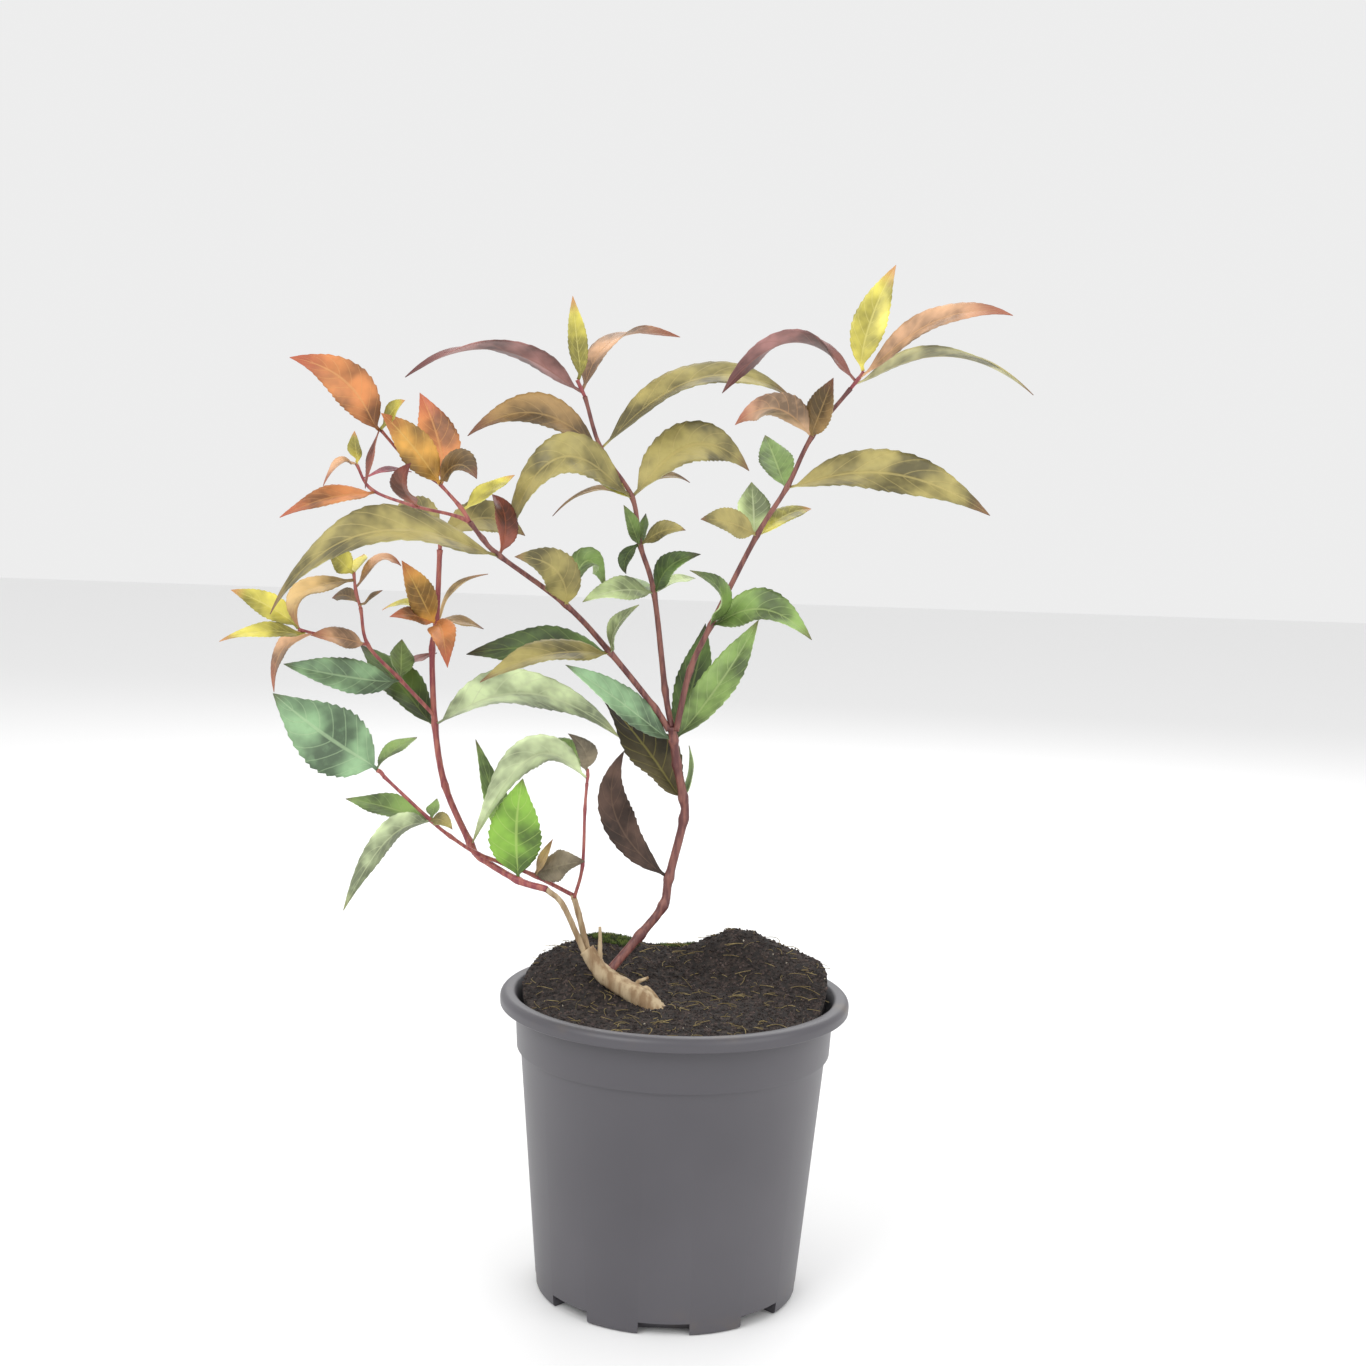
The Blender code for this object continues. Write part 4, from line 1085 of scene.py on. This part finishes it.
@dataclass
class Pot:
    """The nursery pot, of the 17 cm size: rolled rim, stepped collar, tapering wall and drain notches."""

    rim_radius: float = 85.0
    rim_top: float = 147.0
    bead: float = 3.4
    lip: float = 140.5
    collar_radius: float = 77.5
    step_height: float = 118.6
    step_outer: float = 76.3
    wall_top: float = 74.3
    foot: float = 63.85
    wall: float = 1.7
    floor: float = 3.0
    segments: int = 160
    notches: int = 8
    first_notch: float = -90.0
    notch_width: float = 24.0
    notch_height: float = 6.0
    notch_depth: float = 9.0
    sharp_angle: float = 38.0
    merge_distance: float = 0.00001

    def profile(self) -> list[Span]:
        """The section of the wall.

        Returns:
            Its outline as radius and height, down the outer side and up the inner one.
        """
        rim, top = self.rim_radius, self.rim_top
        bead = [(rim - self.bead + self.bead * math.sin(a), top - self.bead + self.bead * math.cos(a))
                for a in (math.radians(d) for d in range(0, 91, 15))]
        return [
            (rim - 5.8, top), *bead, (rim - 0.15, self.lip + 0.3), (rim - 0.45, self.lip),
            (rim - 1.5, self.lip), (rim - 1.75, self.lip + 0.4), (rim - 2.0, top - 2.6),
            (rim - 2.6, top - 1.9),
            (self.collar_radius + 1.2, top - 2.1), (self.collar_radius + 0.5, top - 2.6),
            (self.collar_radius, self.lip), (self.step_outer, self.step_height + 0.9),
            (self.step_outer - 0.3, self.step_height + 0.35), (self.wall_top + 0.4, self.step_height),
            (self.wall_top, self.step_height - 0.7), (self.foot + 0.25, 1.8), (self.foot - 0.1, 0.7),
            (self.foot - 1.0, 0.0), (0.0, 0.0), (0.0, self.floor), (self.foot - self.wall, self.floor),
            (self.wall_top - self.wall, self.step_height - 0.4),
            (self.step_outer - self.wall, self.step_height + 2.0),
            (self.collar_radius - self.wall, self.lip), (self.collar_radius + 0.2, top - 0.9),
            (rim - 6.6, top - 0.25), (rim - 5.8, top),
        ]

    def turned(self) -> bpy.types.Object:
        """Turn the section round the axis.

        Returns:
            The pot without its notches.
        """
        points = self.profile()
        edges = [(i, i + 1) for i in range(len(points) - 1)]
        mesh = bpy.data.meshes.new("pot_body")
        mesh.from_pydata([(r * MM, 0.0, z * MM) for r, z in points], edges, [])
        pot = bpy.data.objects.new("pot_body", mesh)
        bpy.context.scene.collection.objects.link(pot)
        turn = pot.modifiers.new("turn", "SCREW")
        turn.axis = "Z"
        turn.steps = turn.render_steps = self.segments
        turn.use_merge_vertices = True
        turn.merge_threshold = self.merge_distance
        baked(pot)
        work = bmesh.new()
        work.from_mesh(pot.data)
        bmesh.ops.remove_doubles(work, verts=work.verts, dist=self.merge_distance)
        work.to_mesh(pot.data)
        work.free()
        return pot

    def notch_cutter(self) -> bpy.types.Object:
        """Boxes that cut the drain notches.

        Returns:
            One mesh with a box for each notch.
        """
        work = bmesh.new()
        for i in range(self.notches):
            turn = Matrix.Rotation(math.radians(self.first_notch + 360 * i / self.notches), 3, "Z")
            for v in bmesh.ops.create_cube(work, size=1.0)["verts"]:
                v.co = turn @ Vector((v.co.x * self.notch_depth * 2 + self.foot, v.co.y * self.notch_width,
                                      v.co.z * self.notch_height * 2)) * MM
        return object_from("notch_boxes", work, [])

    def build(self) -> None:
        """Turn the pot, cut its drain notches and dress it."""
        pot = self.turned()
        cutter = self.notch_cutter()
        cut = pot.modifiers.new("notches", "BOOLEAN")
        cut.operation = "DIFFERENCE"
        cut.object = cutter
        cut.solver = "EXACT"
        baked(pot)
        bpy.data.objects.remove(cutter, do_unlink=True)
        pot.data.materials.clear()
        pot.data.materials.append(PlasticFinish().material())
        pot.data.shade_smooth()
        pot.data.set_sharp_from_angle(angle=math.radians(self.sharp_angle))
        seat(pot, "pot_plastic", "pot")


class Strewn(Enum):
    """What is strewn on the peat."""

    CRUMBS = "peat_crumbs"
    CHIPS = "pale_chips"
    FIBRES = "straw_fibres"
    MOSS = "moss_tufts"


@dataclass
class Scatter:
    """A Geometry Nodes tree that strews small things over a surface and realizes them.

    density is things to the square metre, low and high are their least and greatest scale, and tilt is
    how far they may lean. A masked one only grows where the surface's moss attribute says.
    """

    kind: Strewn
    finish: GroundFinish
    density: float
    low: Point
    high: Point
    seed: int
    tilt: float = math.pi
    masked: bool = False
    crumb_radius: float = 0.5
    tuft_radius: float = 0.35
    tuft_height: float = 2.0
    fibre_reach: float = 5.0
    fibre_bow: Span = (4.0, 1.5)
    fibre_radius: float = 0.16

    def tree(self) -> bpy.types.GeometryNodeTree:
        """Build the node tree.

        Returns:
            The tree, with Density, Least scale, Most scale and Seed as its named inputs.
        """
        tree = bpy.data.node_groups.new(self.kind.value, "GeometryNodeTree")
        face = tree.interface
        for name, kind in (("Geometry", "Geometry"), ("Density", "Float"), ("Least scale", "Vector"),
                           ("Most scale", "Vector"), ("Seed", "Int")):
            face.new_socket(name, in_out="INPUT", socket_type="NodeSocket" + kind)
        face.new_socket("Geometry", in_out="OUTPUT", socket_type="NodeSocketGeometry")
        nodes, links = tree.nodes, tree.links
        source = nodes.new("NodeGroupInput")
        spread = nodes.new("GeometryNodeDistributePointsOnFaces")
        links.new(source.outputs["Geometry"], spread.inputs["Mesh"])
        links.new(source.outputs["Seed"], spread.inputs["Seed"])
        density = source.outputs["Density"]
        if self.masked:
            mask = nodes.new("GeometryNodeInputNamedAttribute")
            mask.data_type = "FLOAT"
            mask.inputs["Name"].default_value = "moss"
            product = nodes.new("ShaderNodeMath")
            product.operation = "MULTIPLY"
            links.new(mask.outputs["Attribute"], product.inputs[0])
            links.new(density, product.inputs[1])
            density = product.outputs[0]
        links.new(density, spread.inputs["Density"])
        place = nodes.new("GeometryNodeInstanceOnPoints")
        links.new(spread.outputs["Points"], place.inputs["Points"])
        links.new(self.thing(nodes, links), place.inputs["Instance"])
        size, turn = (nodes.new("FunctionNodeRandomValue") for _ in range(2))
        for node, name in ((size, "Scale"), (turn, "Rotation")):
            node.data_type = "FLOAT_VECTOR"
            links.new(source.outputs["Seed"], node.inputs["Seed"])
            links.new(node.outputs[0], place.inputs[name])
        links.new(source.outputs["Least scale"], size.inputs[0])
        links.new(source.outputs["Most scale"], size.inputs[1])
        turn.inputs[0].default_value = (-self.tilt, -self.tilt, 0.0)
        turn.inputs[1].default_value = (self.tilt, self.tilt, 2 * math.pi)
        realize = nodes.new("GeometryNodeRealizeInstances")
        links.new(place.outputs["Instances"], realize.inputs["Geometry"])
        paint = nodes.new("GeometryNodeSetMaterial")
        paint.inputs["Material"].default_value = self.finish.material()
        links.new(realize.outputs["Geometry"], paint.inputs["Geometry"])
        links.new(paint.outputs["Geometry"], nodes.new("NodeGroupOutput").inputs["Geometry"])
        return tree

    def thing(self, nodes: bpy.types.Nodes, links: bpy.types.NodeLinks) -> Socket:
        """Add the small thing itself, at its own scale of one.

        Args:
            nodes: The tree's nodes.
            links: The tree's links.

        Returns:
            Its mesh.
        """
        if self.kind in (Strewn.CRUMBS, Strewn.CHIPS):
            ball = nodes.new("GeometryNodeMeshIcoSphere")
            ball.inputs["Radius"].default_value = self.crumb_radius * MM
            ball.inputs["Subdivisions"].default_value = 1
            return ball.outputs["Mesh"]
        if self.kind is Strewn.MOSS:
            spike = nodes.new("GeometryNodeMeshCone")
            spike.inputs["Vertices"].default_value = 4
            spike.inputs["Radius Bottom"].default_value = self.tuft_radius * MM
            spike.inputs["Depth"].default_value = self.tuft_height * MM
            return spike.outputs["Mesh"]
        arc = nodes.new("GeometryNodeCurveQuadraticBezier")
        arc.inputs["Resolution"].default_value = 6
        arc.inputs["Start"].default_value = (-self.fibre_reach * MM, 0.0, 0.0)
        arc.inputs["Middle"].default_value = (0.0, self.fibre_bow[0] * MM, self.fibre_bow[1] * MM)
        arc.inputs["End"].default_value = (self.fibre_reach * MM, 0.0, 0.0)
        ring = nodes.new("GeometryNodeCurvePrimitiveCircle")
        ring.inputs["Resolution"].default_value = 4
        ring.inputs["Radius"].default_value = self.fibre_radius * MM
        sweep = nodes.new("GeometryNodeCurveToMesh")
        sweep.inputs["Fill Caps"].default_value = True
        links.new(arc.outputs["Curve"], sweep.inputs["Curve"])
        links.new(ring.outputs["Curve"], sweep.inputs["Profile Curve"])
        return sweep.outputs["Mesh"]

    def strew(self, surface: bpy.types.Object) -> bpy.types.Object:
        """Strew the things over a surface.

        Args:
            surface: The object whose faces get them.

        Returns:
            One piece with all of them, as a plain mesh.
        """
        piece = bpy.data.objects.new(self.kind.value, surface.data.copy())
        bpy.context.scene.collection.objects.link(piece)
        strewing = piece.modifiers.new("strewing", "NODES")
        tree = self.tree()
        strewing.node_group = tree
        values = {"Density": self.density, "Least scale": self.low, "Most scale": self.high,
                  "Seed": self.seed}
        for item in tree.interface.items_tree:
            if item.in_out == "INPUT" and item.name in values:
                strewing[item.identifier] = values[item.name]
        piece = baked(piece)
        piece.data.shade_smooth()
        return piece


@dataclass
class Peat:
    """The peat that fills the pot, heaped to the back and the right, and what is strewn on it.

    heaps are each heap's place, rise and spread, and moss_spots each spot's place and radius. lump_mix
    is the fractal's falloff, step between octaves and octaves.
    """

    edge_height: float = 142.5
    radius: float = 74.1
    depth: float = 4.0
    sink: float = 0.4
    rings: int = 44
    segments: int = 144
    lumps: float = 1.1
    lump_scale: float = 0.16
    lump_mix: tuple[float, float, int] = (0.8, 2.1, 4)
    heaps: tuple[tuple[float, float, float, float], ...] = (
        (30.0, 42.0, 20.0, 17.0),
        (60.0, 32.0, 12.0, 20.0),
        (68.0, 4.0, 12.0, 17.0),
        (-34.0, 44.0, 15.0, 20.0),
        (-56.0, 20.0, 13.0, 20.0),
        (2.0, 60.0, 7.0, 22.0),
        (-36.0, 2.0, 4.0, 16.0),
        (20.0, -30.0, 2.5, 24.0),
    )
    moss_spots: tuple[Point, ...] = ((-34.0, 44.0, 14.0), (0.0, 64.0, 9.0))
    strewn: tuple[Scatter, ...] = (
        Scatter(Strewn.CRUMBS, CRUMB, 260000.0, (0.5, 0.5, 0.4), (2.4, 2.0, 1.5), 11),
        Scatter(Strewn.CHIPS, CHIP, 1500.0, (0.7, 0.7, 0.4), (1.8, 1.5, 0.8), 12),
        Scatter(Strewn.FIBRES, FIBRE, 16000.0, (0.3, 0.3, 0.6), (1.2, 1.3, 1.2), 13, 0.3),
        Scatter(Strewn.MOSS, MOSS, 3500000.0, (0.6, 0.6, 0.6), (1.5, 1.5, 1.3), 14, 0.5, True),
    )

    def height(self, x: float, y: float) -> float:
        """The peat's surface height at a place, in millimetres."""
        return self.edge_height + sum(rise * math.exp(-((x - hx) ** 2 + (y - hy) ** 2) / (2 * spread ** 2))
                                      for hx, hy, rise, spread in self.heaps)

    def surface(self) -> bpy.types.Object:
        """Build the lumpy top.

        Returns:
            An open disc, with the moss's share at each point.
        """
        work = bmesh.new()
        moss = work.verts.layers.float.new("moss")
        middle = work.verts.new((0, 0, 0))
        turns = [2 * math.pi * k / self.segments for k in range(self.segments)]
        loops = [[work.verts.new((math.cos(a) * self.radius * i / self.rings,
                                  math.sin(a) * self.radius * i / self.rings, 0)) for a in turns]
                 for i in range(1, self.rings + 1)]
        for k in range(self.segments):
            n = (k + 1) % self.segments
            work.faces.new((middle, loops[0][k], loops[0][n]))
            for a, b in zip(loops, loops[1:]):
                work.faces.new((a[k], b[k], b[n], a[n]))
        for v in work.verts:
            x, y = v.co.x, v.co.y
            lump = noise.fractal(Vector((x, y, 0.0)) * self.lump_scale, *self.lump_mix)
            v[moss] = max((1.0 if math.hypot(x - mx, y - my) < reach else 0.0)
                          for mx, my, reach in self.moss_spots)
            v.co = Vector((x, y, self.height(x, y) + lump * self.lumps - self.sink)) * MM
        return object_from("peat_surface", work, [PEAT.material()])

    def build(self) -> None:
        """Build the peat body and strew crumbs, chips, fibres and moss on it."""
        surface = self.surface()
        pieces = [scatter.strew(surface) for scatter in self.strewn]
        wall = surface.modifiers.new("body", "SOLIDIFY")
        wall.thickness = self.depth * MM
        wall.offset = -1.0
        baked(surface)
        surface.name = "peat_body"
        seat(surface, "peat", "soil")
        for piece in pieces:
            seat(piece, "peat")


@dataclass
class Studio:
    """The plain pale floor, the soft light, and the camera where the photographer stood.

    The angles are in degrees, and each lamp has its name, place, size and power.
    """

    eye: Point = (0.0, -0.908, 0.3886)
    pitch: float = -5.71
    pan: float = -0.062
    roll: float = 1.909
    lens: float = 50.0
    sensor: float = 36.0
    clip: Span = (0.01, 50.0)
    floor_size: float = 12.0
    floor_gap: float = 0.0002
    floor_white: float = 0.9
    floor_roughness: float = 0.9
    aim: Point = (0.0, 0.0, 0.3)
    lamps: tuple[tuple[str, Point, float, float], ...] = (
        ("key", (-1.2, -1.4, 1.7), 1.4, 26.0),
        ("fill", (1.5, -1.1, 1.2), 1.6, 14.0),
        ("back", (0.2, 1.4, 1.5), 1.6, 14.0),
    )
    world_strength: float = 0.85

    def camera(self) -> None:
        """Set the camera at the photograph's viewing angle."""
        pitch, pan, roll = (math.radians(a) for a in (self.pitch, self.pan, self.roll))
        ahead = Vector((math.sin(pan) * math.cos(pitch), math.cos(pan) * math.cos(pitch), math.sin(pitch)))
        right = Vector((math.cos(pan), -math.sin(pan), 0.0))
        up = right.cross(ahead)
        across = right * math.cos(roll) + up * math.sin(roll)
        above = up * math.cos(roll) - right * math.sin(roll)
        data = bpy.data.cameras.new("photographer")
        data.lens = self.lens
        data.sensor_width = self.sensor
        data.clip_start, data.clip_end = self.clip
        camera = bpy.data.objects.new("photographer", data)
        axes = Matrix((across, above, -ahead)).transposed().to_4x4()
        camera.matrix_world = Matrix.Translation(self.eye) @ axes
        bpy.context.scene.collection.objects.link(camera)
        bpy.context.scene.camera = camera

    def floor(self) -> None:
        """Lay the floor."""
        work = bmesh.new()
        bmesh.ops.create_grid(work, x_segments=1, y_segments=1, size=self.floor_size / 2)
        material = bpy.data.materials.new("pale_floor")
        material.use_nodes = True
        shader = material.node_tree.nodes["Principled BSDF"]
        shader.inputs["Base Color"].default_value = (*[self.floor_white] * 3, 1.0)
        shader.inputs["Roughness"].default_value = self.floor_roughness
        floor = object_from("floor", work, [material])
        floor.location.z = -self.floor_gap

    def lamp(self, name: str, place: Point, size: float, power: float) -> None:
        """Hang one soft lamp.

        Args:
            name: Its name.
            place: Where it hangs, in metres.
            size: The side of its square, in metres.
            power: Its power, in watts.
        """
        data = bpy.data.lights.new(name, "AREA")
        data.size = size
        data.energy = power
        lamp = bpy.data.objects.new(name, data)
        lamp.location = place
        lamp.rotation_euler = (Vector(self.aim) - Vector(place)).to_track_quat("-Z", "Y").to_euler()
        bpy.context.scene.collection.objects.link(lamp)

    def build(self) -> None:
        """Set up camera, floor and light."""
        self.camera()
        self.floor()
        for lamp in self.lamps:
            self.lamp(*lamp)
        world = bpy.data.worlds.new("studio")
        world.use_nodes = True
        world.node_tree.nodes["Background"].inputs["Color"].default_value = (1.0, 1.0, 1.0, 1.0)
        world.node_tree.nodes["Background"].inputs["Strength"].default_value = self.world_strength
        bpy.context.scene.world = world
        bpy.context.scene.view_settings.view_transform = "Standard"


def main() -> None:
    """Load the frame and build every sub-assembly."""
    logging.basicConfig(level=logging.INFO, format="%(name)s %(message)s")
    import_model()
    Studio().build()
    Pot().build()
    Peat().build()
    old_stems = StemMaker(sides=20, roughness=0.07, ridge=0.03, swelling=0.08)
    Plant(StemMaker(), old_stems, BladeMaker()).build()


if __name__ == "__main__":
    main()
